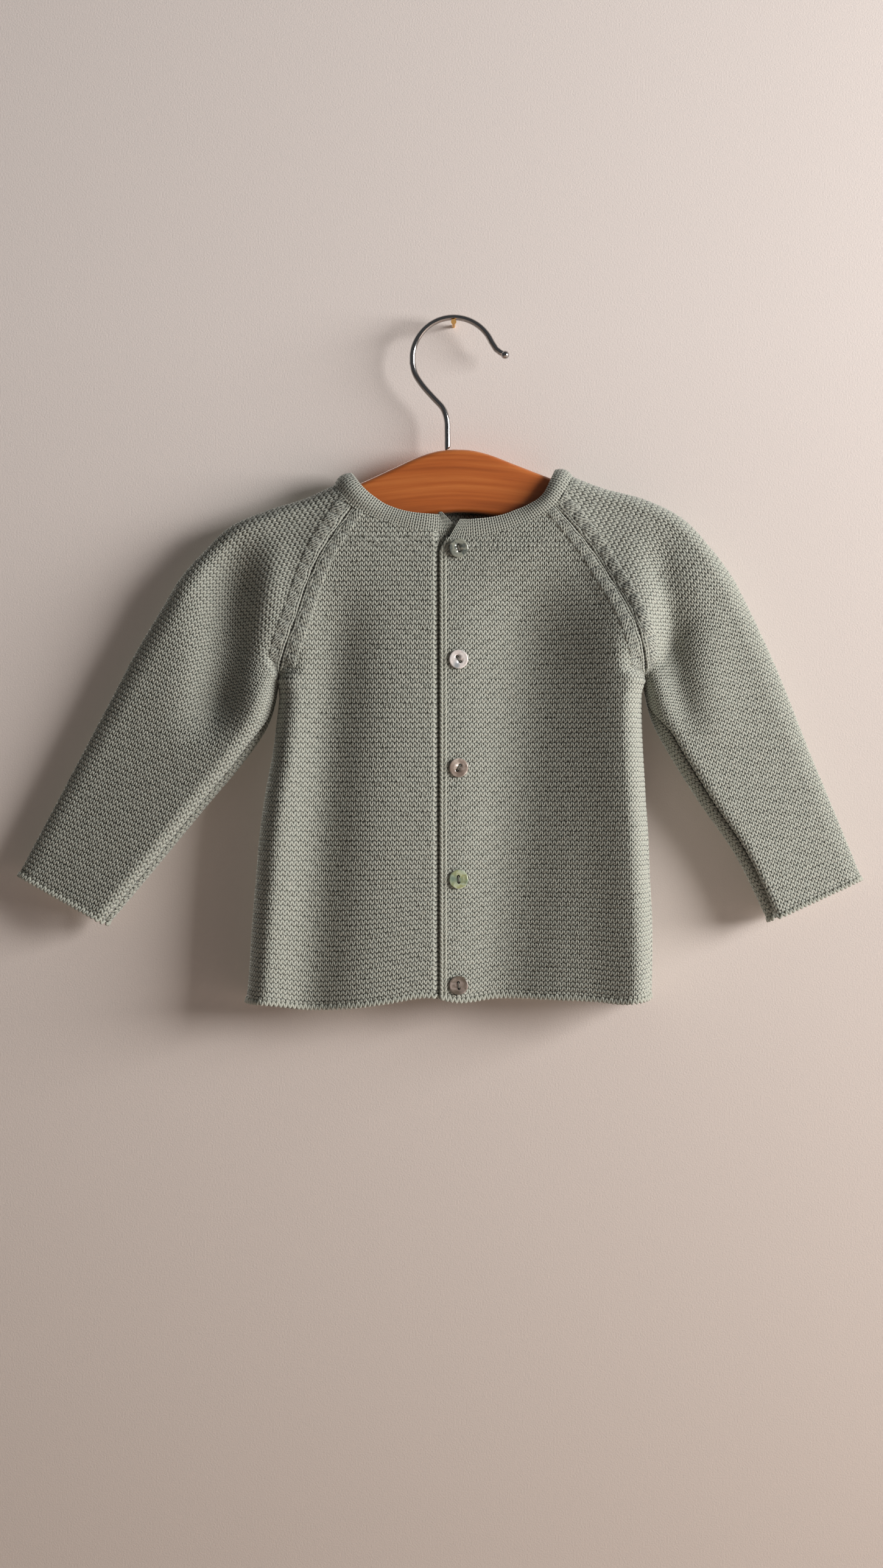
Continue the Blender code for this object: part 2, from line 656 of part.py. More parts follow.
def cardigan(knit):
    """The knitted pieces, named for the wearer's left and right. The viewer's left is the wearer's right."""
    panels = {
        "back": back_panel(),
        "front_right": body_half("left", "front"),
        "front_left": body_half("right", "front"),
        "sleeve_right": sleeve_panel("left"),
        "sleeve_left": sleeve_panel("right"),
    }
    panels["neckband"] = neckband_panel(panels)
    seams = {
        "back": "first_column last_column last_row",
        "front_right": "first_column last_row",
        "front_left": "first_column last_row",
        "sleeve_right": "first_column last_column last_row",
        "sleeve_left": "first_column last_column last_row",
        "neckband": "first_row",
    }
    for (name, (points, raised)), normal in zip(panels.items(), outward_normals(panels)):
        thick = BAND_THICK if name == "neckband" else WALL
        cloth_shell(name, pulled_in(points, SEAM_GAP / 2, seams[name]), normal, raised, thick, knit)


def helper(name, bm, owner, operation):
    """A shape that is cut from its owner or joined to it."""
    mesh = bpy.data.meshes.new(name)
    bm.to_mesh(mesh)
    bm.free()
    shape = bpy.data.objects.new(name, mesh)
    shape.hide_render = True
    shape.display_type = "WIRE"
    bpy.context.scene.collection.objects.link(shape)
    shape.parent = owner
    boolean = owner.modifiers.new(name, "BOOLEAN")
    boolean.object = shape
    boolean.operation = operation
    boolean.solver = "EXACT"


def button(number, height, turn, tilt, shell):
    """A shell button: a turned disc with a shallow dish and two holes."""
    name = f"button_{int(number)}"
    bm = bmesh.new()
    verts = [bm.verts.new((r * MM, 0, h * MM)) for _, r, h in zip(*BUTTON_SECTION.values())]
    edges = [bm.edges.new(pair) for pair in zip(verts, verts[1:])]
    bmesh.ops.spin(
        bm,
        geom=verts + edges,
        cent=(0, 0, 0),
        axis=(0, 0, 1),
        angle=2 * math.pi,
        steps=BUTTON_SIDES,
        use_merge=True,
        use_duplicate=False,
    )
    bmesh.ops.remove_doubles(bm, verts=bm.verts[:], dist=1e-6)
    bmesh.ops.recalc_face_normals(bm, faces=bm.faces[:])
    obj = new_object(name, mesh_of(name, bm, BUTTON_SHARP), shell)
    for end in (-1, 1):
        hole = bmesh.new()
        bmesh.ops.create_cone(
            hole,
            cap_ends=True,
            segments=BUTTON_HOLE_SIDES,
            radius1=BUTTON_HOLE_RADIUS * MM,
            radius2=BUTTON_HOLE_RADIUS * MM,
            depth=BUTTON_HOLE_DEPTH * MM,
            matrix=Matrix.Rotation(math.radians(turn), 4, "Z")
            @ Matrix.Translation(Vector((0, end * BUTTON_HOLE_SPACING / 2, BUTTON_THICK / 2)) * MM),
        )
        helper(f"{name}_hole_{end}", hole, obj, "DIFFERENCE")
    face_y = -(body_depth("front", BUTTON_X, height) + WALL / 2 + BUTTON_LIFT)
    obj.location = Vector((BUTTON_X, float(face_y), height)) * MM
    obj.rotation_euler = (math.radians(90 + tilt), 0, 0)


def hanger_board(wood):
    """The flat wooden board, its outline the same on both sides and its edges rounded."""
    middle_part = np.linspace(0, BOARD_MIDDLE, BOARD_MIDDLE_STEPS + 1)
    arm_part = np.linspace(BOARD_MIDDLE, BOARD["reach"][-1], BOARD_ARM_STEPS + 1)
    reach = np.concatenate([middle_part[:-1], arm_part])
    top, bottom = smooth(BOARD, "top", reach), smooth(BOARD, "bottom", reach)
    middle, half = (top[-1] + bottom[-1]) / 2, (top[-1] - bottom[-1]) / 2
    tip = [
        (reach[-1] + BOARD_END_RADIUS * math.sin(turn), middle + half * math.cos(turn))
        for turn in np.linspace(0, math.pi, BOARD_END_STEPS + 1)[1:-1]
    ]
    right_half = list(zip(reach, top)) + tip + list(zip(reach[::-1], bottom[::-1]))
    left_half = [(-x, z) for x, z in right_half[::-1] if x > 0]
    bm = bmesh.new()
    face = bm.faces.new([bm.verts.new(Vector((x, -BOARD_THICK / 2, z)) * MM) for x, z in right_half + left_half])
    made = bmesh.ops.extrude_face_region(bm, geom=[face])
    moved = [v for v in made["geom"] if isinstance(v, bmesh.types.BMVert)]
    bmesh.ops.translate(bm, vec=Vector((0, BOARD_THICK, 0)) * MM, verts=moved)
    bmesh.ops.recalc_face_normals(bm, faces=bm.faces[:])
    rim = [e for e in bm.edges if math.isclose(e.verts[0].co.y, e.verts[1].co.y)]
    bmesh.ops.bevel(
        bm,
        geom=rim,
        offset=BOARD_ROUNDING * MM,
        affect="EDGES",
        segments=2,
        profile=0.5,
        material=-1,
        clamp_overlap=True,
    )
    bmesh.ops.triangulate(bm, faces=bm.faces[:])
    middle = Vector((0, 0, BOARD["top"][0])) * MM
    tilt = Matrix.Rotation(math.radians(-BOARD_TILT), 3, "Y")
    bmesh.ops.rotate(bm, cent=middle, matrix=tilt, verts=bm.verts[:])
    new_object("hanger_board", mesh_of("hanger_board", bm, BOARD_SHARP), wood)


def hanger_hook(chrome):
    """The bent wire, from the board's top edge to the ball at its free end."""
    heights = np.linspace(HOOK_NECK["height"][0], HOOK_NECK["height"][-1], HOOK_NECK_STEPS + 1)
    neck = list(zip(smooth(HOOK_NECK, "x", heights), heights))
    centre_z = -(HOOK_RADIUS - WIRE_RADIUS)
    angles = np.radians(np.linspace(*HOOK_ARC, HOOK_ARC_STEPS + 1))
    arc = [(HOOK_RADIUS * math.cos(a), centre_z + HOOK_RADIUS * math.sin(a)) for a in angles]
    path = neck + arc + list(HOOK_FLICK)
    path[0] = (path[0][0], BOARD["top"][0] + SEAM_GAP)
    curve = bpy.data.curves.new("hook_wire", "CURVE")
    curve.dimensions = "3D"
    curve.bevel_depth = WIRE_RADIUS * MM
    curve.bevel_resolution = 2
    curve.use_fill_caps = True
    spline = curve.splines.new("POLY")
    spline.points.add(len(path) - 1)
    for point, (x, z) in zip(spline.points, path):
        point.co = (x * MM, 0, z * MM, 1)
    wire = bpy.data.objects.new("hook_wire", curve)
    bpy.context.scene.collection.objects.link(wire)
    bpy.context.view_layer.update()
    mesh = bpy.data.meshes.new_from_object(wire.evaluated_get(bpy.context.evaluated_depsgraph_get()))
    bpy.data.objects.remove(wire)
    obj = new_object("hanger_hook", mesh, chrome)
    ball = bmesh.new()
    end_x, end_z = path[-1]
    bmesh.ops.create_icosphere(
        ball, subdivisions=2, radius=BALL_RADIUS * MM, matrix=Matrix.Translation(Vector((end_x, 0, end_z)) * MM)
    )
    helper("hook_ball", ball, obj, "UNION")


def material(name):
    finish = FINISHES[name]
    made = bpy.data.materials.new(name)
    made.use_nodes = True
    shader = made.node_tree.nodes["Principled BSDF"]
    shader.inputs["Base Color"].default_value = finish["colour"]
    shader.inputs["Roughness"].default_value = finish["roughness"]
    shader.inputs["Metallic"].default_value = finish["metallic"]
    return made


def main():
    for obj in list(bpy.data.objects):
        bpy.data.objects.remove(obj)
    cardigan(material("knit"))
    shell = material("shell")
    for row in zip(*BUTTONS.values()):
        button(*row, shell)
    hanger_board(material("wood"))
    hanger_hook(material("chrome"))


main()
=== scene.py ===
# A baby cardigan in garter stitch on a small wooden hanger: the knitting and finish of every piece,
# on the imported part. Lengths are in millimetres up to the line that makes a mesh. +X is the viewer's
# right, the front faces -Y and +Z is up. A piece is named for the wearer's side, and "left" and
# "right" in the tables are the viewer's.
import math

import bmesh
import bpy
import numpy as np
from mathutils import Matrix, Vector


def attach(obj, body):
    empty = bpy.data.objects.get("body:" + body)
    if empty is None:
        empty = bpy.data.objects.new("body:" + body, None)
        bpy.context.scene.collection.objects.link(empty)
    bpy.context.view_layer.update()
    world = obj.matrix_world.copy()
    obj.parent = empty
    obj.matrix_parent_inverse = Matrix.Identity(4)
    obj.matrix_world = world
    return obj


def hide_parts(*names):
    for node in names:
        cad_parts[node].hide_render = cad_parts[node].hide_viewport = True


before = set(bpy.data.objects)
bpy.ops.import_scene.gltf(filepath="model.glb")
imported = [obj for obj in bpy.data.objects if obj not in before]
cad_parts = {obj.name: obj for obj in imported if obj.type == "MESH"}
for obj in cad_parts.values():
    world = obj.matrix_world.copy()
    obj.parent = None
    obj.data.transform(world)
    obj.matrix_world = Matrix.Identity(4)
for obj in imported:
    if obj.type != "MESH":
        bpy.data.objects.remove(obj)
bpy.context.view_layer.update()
mm = 0.001
touching = 0.001 * mm  # points that are nearer than this are one
print("frame loaded:", len(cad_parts), "nodes")


def table(columns, *rows):
    return {name: np.array(values, float) for name, values in zip(columns.split(), zip(*rows))}


def smoothAt(source, name, at):
    # the value of one column where the first column has the value at, on a smooth curve through the rows
    keys = next(iter(source.values()))
    values = source[name]
    at = np.clip(np.asarray(at, float), keys[0], keys[-1])
    step = np.diff(keys)
    slope = np.diff(values) / step
    tangent = np.empty_like(values)
    tangent[0], tangent[-1] = slope[0], slope[-1]
    tangent[1:-1] = (slope[:-1] * step[1:] + slope[1:] * step[:-1]) / (step[1:] + step[:-1])
    i = np.clip(np.searchsorted(keys, at, side="right") - 1, 0, len(step) - 1)
    t = (at - keys[i]) / step[i]
    t2, t3 = t * t, t * t * t
    return (
        (2 * t3 - 3 * t2 + 1) * values[i]
        + (t3 - 2 * t2 + t) * step[i] * tangent[i]
        + (3 * t2 - 2 * t3) * values[i + 1]
        + (t3 - t2) * step[i] * tangent[i + 1]
    )


def ease(value):
    t = np.clip(value, 0.0, 1.0)
    return t * t * (3 - 2 * t)


def fading(value, first, last):
    return 1 - ease((value - first) / (last - first))


def mix(a, b, share):
    return a + (b - a) * share


def unit(vectors):
    return vectors / np.maximum(np.linalg.norm(vectors, axis=-1, keepdims=True), 1e-9)


# the cut of the cardigan, as in the part
outwards = {"left": -1.0, "right": 1.0}
facings = {"front": -1.0, "back": 1.0}

knit = {
    "wall": 2.6,  # thickness of the garter stitch
    "seamGap": 0.36,
    "underarmGap": 2.0,  # how much wider the gap is at the underarm
    "stitch": 2.64,  # width of a stitch
    "ridge": 2.94,  # height of a garter ridge, which is two rows
    "rise": 0.86,  # how far the yarn's middle swings up and down along a ridge
    "yarn": 0.77,  # half of the yarn's thickness
    "lift": 1.6,  # from the bottom of the holes to the crest of a ridge
    "crest": 0.45,  # how much of that stands out of the wall
    "sway": 0.1,  # how unevenly the stitches lie, as a share of a stitch
    "seamSink": 1.5,  # how deep the groove of a seam is
    "seamReach": 1.2,
    "pinch": 0.6,  # how much thinner the cloth is drawn at the underarm
    "pinchReach": 11.0,
    "samples": {"front": 6, "back": 3},  # grid lines to a stitch
    "coarse": 8,  # the inner face has one grid line for so many of the outer face
    "hemRidges": 0.75,  # the garter stitch fades out under the loops of hem and cuffs
    "hemFade": 0.5,
    "paintedHeight": 0.5,
    # how sharply the painted shade darkens the holes between the stitches
    "holeShadePower": 1.65,
    "plain": 0.62,  # the painted height where the stitches have faded out
}

body = {
    "hem": -412.5,
    "underarm": -219.0,
    "neck": -113.5,  # where a raglan line meets the neckband
    "frontEdge": {"left": 13.0, "right": -8.3},
    "neckEdge": {"left": 6.0, "right": -4.4},
    "neckEdgeRise": 9.0,
    "overlapEase": 4.0,
    "overlapReach": 0.5,
    "overlapDip": 3.4,
    "armholeRise": 38.0,
    "grooveReach": 17.0,
    "joinRise": 9.0,
    "sideRadius": 12.0,
    "seamTurn": {"left": 0.0, "right": 26.0},
    "seamTurnRows": (-322.0, -262.0),
    "foldEase": 70.0,
    "hemReach": 110.0,
    "neckDip": {"front": {"left": 15.3, "right": 18.4}, "back": {"left": 3.0, "right": 3.0}},
    "neckBend": 62.0,
    "sides": table(
        "height left right",
        (-413, -123.7, 117.6), (-402, -122.4, 117.9), (-365, -120, 118), (-336, -117.6, 116.6),
        (-314, -115.8, 115.8), (-285, -111.9, 114), (-262, -107.6, 112.6), (-241, -105, 111.9),
        (-233, -104.2, 112), (-225, -104.4, 112.6), (-219, -105.8, 114.4),
    ),
    "raglan": table(
        "height left right",
        (-219, -105.8, 114.4), (-207, -103.6, 114), (-195, -100, 111.8), (-182, -95.3, 107.6),
        (-169, -91.2, 101.2), (-157, -87, 94), (-142, -80.2, 84.8), (-128, -71.2, 74),
        (-113.5, -60.8, 61.4),
    ),
    "depth": table(
        "height front back",
        (-413, 19, 12.5), (-330, 20, 13), (-260, 20, 13), (-219, 18.6, 12.6), (-180, 16.2, 11.8),
        (-150, 14.6, 11), (-130, 14, 10.4), (-113, 13.2, 10.2), (-92, 13, 10.2),
    ),
    "hemLine": table(
        "x rise",
        (-126, 1.8), (-110, 0.6), (-90, -2), (-62, -1.2), (-40, 1.8), (-14, 5.2), (2, 2.2),
        (24, 4.4), (58, 4), (84, 3.2), (106, 2.2), (120, 5.2),
    ),
}

# the smooth stitches at each side of a raglan line
raglanBand = {
    "from": 0.15,
    "width": 9.8,
    "leg": 1.62,  # width of one leg of a stitch
    "row": 2.2,
    "leafFrom": 3.24,  # the slanting decrease stitches begin this far from the seam
    "leafPitch": 8.8,
    "leafLean": 3.4,  # legs that a leaf leans over its length
    "leafHeight": 0.95,
    "leafMiddle": 0.3,
    "leafStart": 2.2,  # how steeply a leaf rises at its start and falls at its end
    "leafEnd": 3.5,
    "leafRound": 0.7,
    "leafFade": 2.4,
    "legHeight": 0.75,
    "legMiddle": 0.6,
    "wander": 0.3,  # how far a column of stitches strays to its sides
    "wanderWaves": (1.9, 3.1),
    "base": 0.35,
    "start": 0.035,  # share of the line that is left free at the underarm
    "outerRim": (1.5, 1.4),  # how deep the band sinks at its rims, and over what width
    "seamRim": (0.7, 1.0),
    "startRim": (1.0, 0.03),
    "root": 1.2,  # how far the band reaches down into the garter stitch
    "lap": 1.5,  # the garter stitch runs on under the band so far
    "lapFade": 2.0,
    "lapSunk": 0.7,
    "along": 200,
    "across": 19,
    "coarse": 5,
    "skew": {"body": 0.39, "sleeve": 0.5},  # how far a row slides along the seam
    "spread": {"body": 1.09, "sleeve": 1.15},  # a row crosses the seam on a slant
}

# soft ridges (+) and troughs (-), each from a top point down to a bottom point
foldTables = {
    "front": table(
        "topZ topX bottomX width depth",
        (-196, -98, -116, 13, 4.5), (-138, -66, -86, 18, -7.5), (-170, -30, -45, 24, 1.5),
        (-128, 50, 30, 28, -10.5), (-130, 103, 117, 26, 13), (-240, 10, 6, 14, 0.8),
    ),
    "back": table(
        "topZ topX bottomX width depth",
        (-190, -96, -108, 15, 2), (-160, -52, -66, 20, -3.4), (-200, -4, -12, 24, 1.2),
        (-165, 56, 48, 22, -3.8), (-200, 98, 104, 16, 2.2),
    ),
    "left": table(
        "topZ topX bottomX width depth",
        (-122, -129, -143, 17, -12), (-122, -106, -116, 12, 3.4),
    ),
    "right": table(
        "topZ topX bottomX width depth",
        (-122, 122, 134, 12, -7.5), (-122, 146, 156, 15, 2.4),
    ),
}

sleeve = {
    "underarm": 66.0,  # ridges from the cuff
    "neck": 101.0,
    "foldEase": 42.0,
    "foldBottom": -250.0,
    "foldEnd": -225.0,
    "foldFade": 40.0,
    "foldEdge": 30.0,
    "backFoldShare": 0.6,
    "lean": (-5.0, 8.0),  # how much nearer the viewer a sleeve lies at its upper and at its lower edge
    "leanEnd": (52.0, 78.0),
    "seamTurn": {"left": 36.0, "right": 57.0},
    "seamTurnRows": (44.0, 62.0),
    "tube": {
        "left": table(
            "ridge outerX outerZ innerX innerZ",
            (0, -261.4, -336, -209.6, -364), (15, -240, -295.6, -179.6, -328),
            (30, -218.7, -255.2, -149.6, -291.6), (42, -201.7, -223, -127, -264.6),
            (50, -190.6, -201.8, -114.8, -246.8), (58, -177.8, -180.2, -109.2, -232.2),
            (66, -165, -158.6, -105.8, -219),
        ),
        "right": table(
            "ridge outerX outerZ innerX innerZ",
            (0, 245, -338.2, 191, -362), (15, 228.4, -297.6, 171.6, -322.6),
            (30, 211.6, -257, 148.4, -288.6), (42, 198.8, -224.4, 130.4, -259.6),
            (50, 189.7, -202.6, 122, -244), (58, 179.2, -180.2, 117.8, -231.4),
            (66, 168.4, -158.6, 114.4, -219),
        ),
    },
    "shoulder": {
        "left": table(
            "ridge outerX outerZ",
            (66, -165, -158.6), (70, -157.6, -149.4), (74, -149.4, -140.8), (80, -135.2, -127),
            (88, -112, -116.5), (96, -87.4, -108.6), (101, -71.4, -101.2),
        ),
        "right": table(
            "ridge outerX outerZ",
            (66, 168.4, -158.6), (70, 161.4, -148.2), (74, 152.8, -137.4), (80, 138.6, -122.2),
            (88, 115, -109.9), (96, 89.2, -102.9), (101, 71.4, -96.2),
        ),
    },
    "section": table(
        "ridge depth outerRound innerRound",
        (0, 8, 8, 8), (20, 9.6, 9, 9.5), (45, 12.6, 11, 11.5), (60, 14, 11, 11), (70, 13, 9, 10),
        (80, 11.2, 7, 10), (90, 10.6, 6.2, 10), (101, 10.6, 6.2, 10),
    ),
}


def folds(source, x, z, begin, bottom):
    total = np.zeros(np.broadcast(x, z).shape)
    for topZ, topX, bottomX, width, depth in zip(*source.values()):
        down = np.clip((topZ - z) / (topZ - bottom), 0, 1)
        middle = mix(topX, bottomX, down)
        total += depth * ease((topZ - z) / begin) * np.exp(-(((x - middle) / width) ** 2))
    return total


def bodyDepth(face, x, z):
    return smoothAt(body["depth"], face, z) + folds(foldTables[face], x, z, body["foldEase"], body["hem"])


def boundaryX(side, z):
    # the side seam, and the raglan line above it
    return np.where(z < body["underarm"], smoothAt(body["sides"], side, z), smoothAt(body["raglan"], side, z))


def raglanShare(z):
    rise = np.clip((z - body["underarm"]) / body["armholeRise"], 0, 1)
    return np.sqrt(1 - (1 - rise) ** 2)


def frontEdgeX(side, z):
    top = body["neck"] - body["neckDip"]["front"][side]
    return mix(body["frontEdge"][side], body["neckEdge"][side], ease((z - top) / body["neckEdgeRise"] + 1))


def neckLine(side, face, x):
    # how far the neckline lies below the top of the raglan lines
    across = np.clip(np.abs(x / smoothAt(body["raglan"], side, body["neck"])), 0, 1)
    return -body["neckDip"][face][side] * (1 - across**2)


def seamAngle(source, side, face, row):
    # how far round the fold a panel reaches to its side or underarm seam
    turned = math.radians(source["seamTurn"][side]) * fading(row, *source["seamTurnRows"])
    return math.pi / 2 + facings[face] * turned


def bodySpan(side, face, z):
    # the way over the cloth from a panel's inner end to its side seam or raglan line, and what it is made of
    edgeX = boundaryX(side, z)
    innerX = frontEdgeX(side, z) if face == "front" else 0.0
    length = np.abs(edgeX - innerX)
    start = seamAngle(body, side, face, z)
    arc = start * (body["sideRadius"] + smoothAt(body["depth"], face, z)) / 2
    level = ease((z - body["underarm"]) / body["joinRise"])
    return edgeX, length, start, arc, level, mix(arc + length - body["sideRadius"], length, level)


def bodySurface(side, face, away, z):
    # a point in the middle of the cloth, away from the panel's inner end, in the row of height z
    outward, facing = outwards[side], facings[face]
    other = "back" if face == "front" else "front"
    edgeX, length, start, arc, level, span = bodySpan(side, face, z)
    share = np.clip(1 - away / span, 0, 1)
    travelled = share * (arc + length - body["sideRadius"])
    angle = start * (1 - np.clip(travelled / arc, 0, 1))
    roundC = body["sideRadius"] * (1 - np.sin(angle)) + np.clip(travelled - arc, 0, None)
    levelC = length * share
    x = edgeX - outward * mix(roundC, levelC, level)
    w = mix(np.cos(angle), ease(levelC / body["grooveReach"]), level)
    line = neckLine(side, face, x)
    height = np.minimum(z, body["neck"] + line)  # the neckline cuts the rows
    bent = height
    for _ in range(8):
        bent = height - line * ease((bent - body["neck"]) / body["neckBend"] + 1)
    depth = np.where(w < 0, bodyDepth(other, x, bent), bodyDepth(face, x, bent))
    edgeDepth = bodyDepth(face, edgeX, z) * raglanShare(z)
    y = facing * mix(edgeDepth, depth, w)
    if face == "front" and side == "left":
        under = (x + body["overlapReach"] - body["frontEdge"]["right"]) / body["overlapEase"] + 1
        y = y + body["overlapDip"] * ease(under)
    rise = smoothAt(body["hemLine"], "rise", x) * (1 - ease((z - body["hem"]) / body["hemReach"]))
    return np.stack([x, y, height + rise], axis=-1)


def sleeveSpan(side, face, ridge):
    tube, shoulder = sleeve["tube"][side], sleeve["shoulder"][side]
    low = ridge <= sleeve["underarm"]
    ends = [[smoothAt(part, name, ridge) for name in ("outerX", "outerZ")] for part in (tube, shoulder)]
    outerX, outerZ = [np.where(low, *pair) for pair in zip(*ends)]
    up = np.clip((ridge - sleeve["underarm"]) / (sleeve["neck"] - sleeve["underarm"]), 0, 1)
    raglanZ = mix(body["underarm"], body["neck"], up)
    endX = np.where(low, smoothAt(tube, "innerX", ridge), boundaryX(side, raglanZ))
    endZ = np.where(low, smoothAt(tube, "innerZ", ridge), raglanZ)
    length = np.hypot(endX - outerX, endZ - outerZ)
    names = ("depth", "outerRound", "innerRound")
    depth, outerRound, innerRound = [smoothAt(sleeve["section"], name, ridge) for name in names]
    above = np.clip(endZ - body["underarm"], 0, None) * (ridge > sleeve["underarm"])
    level = ease(above / body["joinRise"])
    final = seamAngle(sleeve, side, face, ridge)
    outerArc = math.pi / 2 * (outerRound + depth) / 2
    innerArc = final * (innerRound + depth) / 2
    flat = length - outerRound - innerRound
    return {
        "ends": (outerX, outerZ, endX, endZ),
        "length": length,
        "depth": depth,
        "rounds": (outerRound, innerRound),
        "arcs": (outerArc, innerArc),
        "flat": flat,
        "final": final,
        "above": above,
        "level": level,
        "span": mix(outerArc + flat + innerArc, outerArc + length - outerRound, level),
    }


def sleeveSurface(side, face, away, ridge):
    # a point in the middle of the cloth, away from the sleeve's upper edge, in a ridge counted from the cuff
    cut = sleeveSpan(side, face, ridge)
    outerX, outerZ, endX, endZ = cut["ends"]
    outerRound, innerRound = cut["rounds"]
    outerArc, innerArc = cut["arcs"]
    length, flat, level, final = cut["length"], cut["flat"], cut["level"], cut["final"]
    share = np.clip(away / cut["span"], 0, 1)
    travelled = share * (outerArc + flat + innerArc)
    outerAngle = math.pi / 2 * (1 - np.clip(travelled / outerArc, 0, 1))
    innerAngle = final * np.clip((travelled - outerArc - flat) / innerArc, 0, 1)
    middle = np.clip(travelled - outerArc, 0, flat)
    roundC = outerRound * (1 - np.sin(outerAngle)) + middle + innerRound * np.sin(innerAngle)
    travelled = share * (outerArc + length - outerRound)
    levelAngle = math.pi / 2 * (1 - np.clip(travelled / outerArc, 0, 1))
    levelC = outerRound * (1 - np.sin(levelAngle)) + np.clip(travelled - outerArc, 0, None)
    c = mix(roundC, levelC, level)
    x = mix(outerX, endX, c / length)
    z = mix(outerZ, endZ, c / length)
    outerW = mix(np.cos(outerAngle), np.cos(levelAngle), level)
    endW = mix(np.cos(innerAngle), ease((length - levelC) / body["grooveReach"]), level)
    bodyEdge = bodyDepth(face, endX, endZ)
    full = mix(cut["depth"], bodyEdge, ease(c / length) * ease(cut["above"] / body["armholeRise"]))
    strength = 1.0 if face == "front" else sleeve["backFoldShare"]
    faded = ease((length - c) / sleeve["foldEdge"])
    faded = faded * (1 - ease((sleeve["foldEnd"] - z) / sleeve["foldFade"]))
    full = full + strength * faded * folds(foldTables[side], x, z, sleeve["foldEase"], sleeve["foldBottom"])
    if face == "front":
        full = full + mix(*sleeve["lean"], c / length) * fading(ridge, *sleeve["leanEnd"])
    endDepth = bodyEdge * raglanShare(endZ) * (ridge > sleeve["underarm"])
    y = facings[face] * outerW * mix(endDepth, full, endW)
    return np.stack([x, y, z], axis=-1)


def clothAt(cut, side, face, away, row):
    # points in the middle of the cloth and the direction of its outer face
    surface, reach, step = cut["surface"], 0.8, cut["rowStep"]
    along = surface(side, face, away + reach, row) - surface(side, face, away - reach, row)
    up = surface(side, face, away, row + step) - surface(side, face, away, row - step)
    outward = cut["turn"] * outwards[side] * facings[face]
    return surface(side, face, away, row), unit(np.cross(along, up)) * outward


def lengthAlong(path):
    return np.concatenate([[0], np.cumsum(np.linalg.norm(np.diff(path, axis=0), axis=1))])


bakeMap = {"outer": 0.86, "innerFrom": 0.88, "inner": 0.12}


def linked(name, data):
    made = bpy.data.objects.new(name, data)
    bpy.context.scene.collection.objects.link(made)
    return made


def meshFrom(name, bm, *materials):
    mesh = bpy.data.meshes.new(name)
    bm.to_mesh(mesh)
    bm.free()
    for material in materials:
        mesh.materials.append(material)
    return mesh


def finishPiece(name, mesh, slotName, *nodes):
    piece = linked(name, mesh)
    mesh.shade_smooth()
    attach(piece, "root")
    if nodes:
        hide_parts(*nodes)
    return piece


def clothMesh(name, bm, *materials):
    # the "place" of each point on its flat cut becomes the map that a baked picture is laid out on
    mesh = meshFrom(name, bm, *materials)

    def read(source, key, width, kind):
        values = np.empty(len(source) * width, kind)
        source.foreach_get(key, values)
        return values

    place = read(mesh.attributes["place"].data, "vector", 3, np.float32)
    corner = read(mesh.loops, "vertex_index", 1, np.int32)
    finish = read(mesh.polygons, "material_index", 1, np.int32)
    sizes = read(mesh.polygons, "loop_total", 1, np.int32)
    uv = place.reshape(-1, 3)[corner, :2]
    inside = np.repeat(finish, sizes) > 0
    inner = bakeMap["innerFrom"] + bakeMap["inner"] * uv[:, 1]
    uv[:, 1] = np.where(inside, inner, bakeMap["outer"] * uv[:, 1])
    mesh.uv_layers.new(name="OFBake").data.foreach_set("uv", uv.ravel())
    return mesh


def newCloth():
    bm = bmesh.new()
    for name in ("stitch", "place"):
        bm.verts.layers.float_vector.new(name)
    return bm


def closeUp(bm):
    bmesh.ops.remove_doubles(bm, verts=bm.verts[:], dist=touching)
    bmesh.ops.dissolve_degenerate(bm, edges=bm.edges[:], dist=touching)
    bmesh.ops.holes_fill(bm, edges=[e for e in bm.edges if e.is_boundary], sides=0)
    bmesh.ops.recalc_face_normals(bm, faces=bm.faces[:])


def vertsOf(made):
    return [g for g in made["geom"] if isinstance(g, bmesh.types.BMVert)]


def layGrid(bm, points, stitches, places, rows, columns, finish):
    # a grid of cloth, with what lies past its edge drawn in to that edge
    before = len(bm.faces)
    made = bmesh.ops.create_grid(bm, x_segments=len(columns) - 1, y_segments=len(rows) - 1, size=1)
    pick = np.ix_(rows, columns)
    stitchLayer = bm.verts.layers.float_vector["stitch"]
    placeLayer = bm.verts.layers.float_vector["place"]
    values = [(a[pick] * s).reshape(-1, 3).tolist() for a, s in ((points, mm), (stitches, 1), (places, 1))]
    for v, co, stitch, place in zip(made["verts"], *values):
        v.co = co
        v[stitchLayer] = stitch
        v[placeLayer] = place
    bm.faces.ensure_lookup_table()
    for f in bm.faces[before:]:
        f.material_index = finish
    return made["verts"]


def closedWall(name, outer, inner, stitches, places, coarse, *materials):
    # a fine outer face, a rim drawn through the cloth from its edge, and a coarser inner face
    rows, columns = outer.shape[:2]
    bm = newCloth()
    verts = layGrid(bm, outer, stitches, places, range(rows), range(columns), 0)
    through = dict(zip(verts, (inner * mm).reshape(-1, 3).tolist()))
    rim = bmesh.ops.extrude_edge_only(bm, edges=[e for e in bm.edges if e.is_boundary])
    for v in vertsOf(rim):
        v.co = next(through[e.other_vert(v)] for e in v.link_edges if e.other_vert(v) in through)
    across = [*range(0, columns - 1, coarse), columns - 1]
    down = [*range(0, rows - 1, coarse), rows - 1]
    layGrid(bm, inner, stitches, places, down, across, 1)
    closeUp(bm)
    return clothMesh(name, bm, *materials)


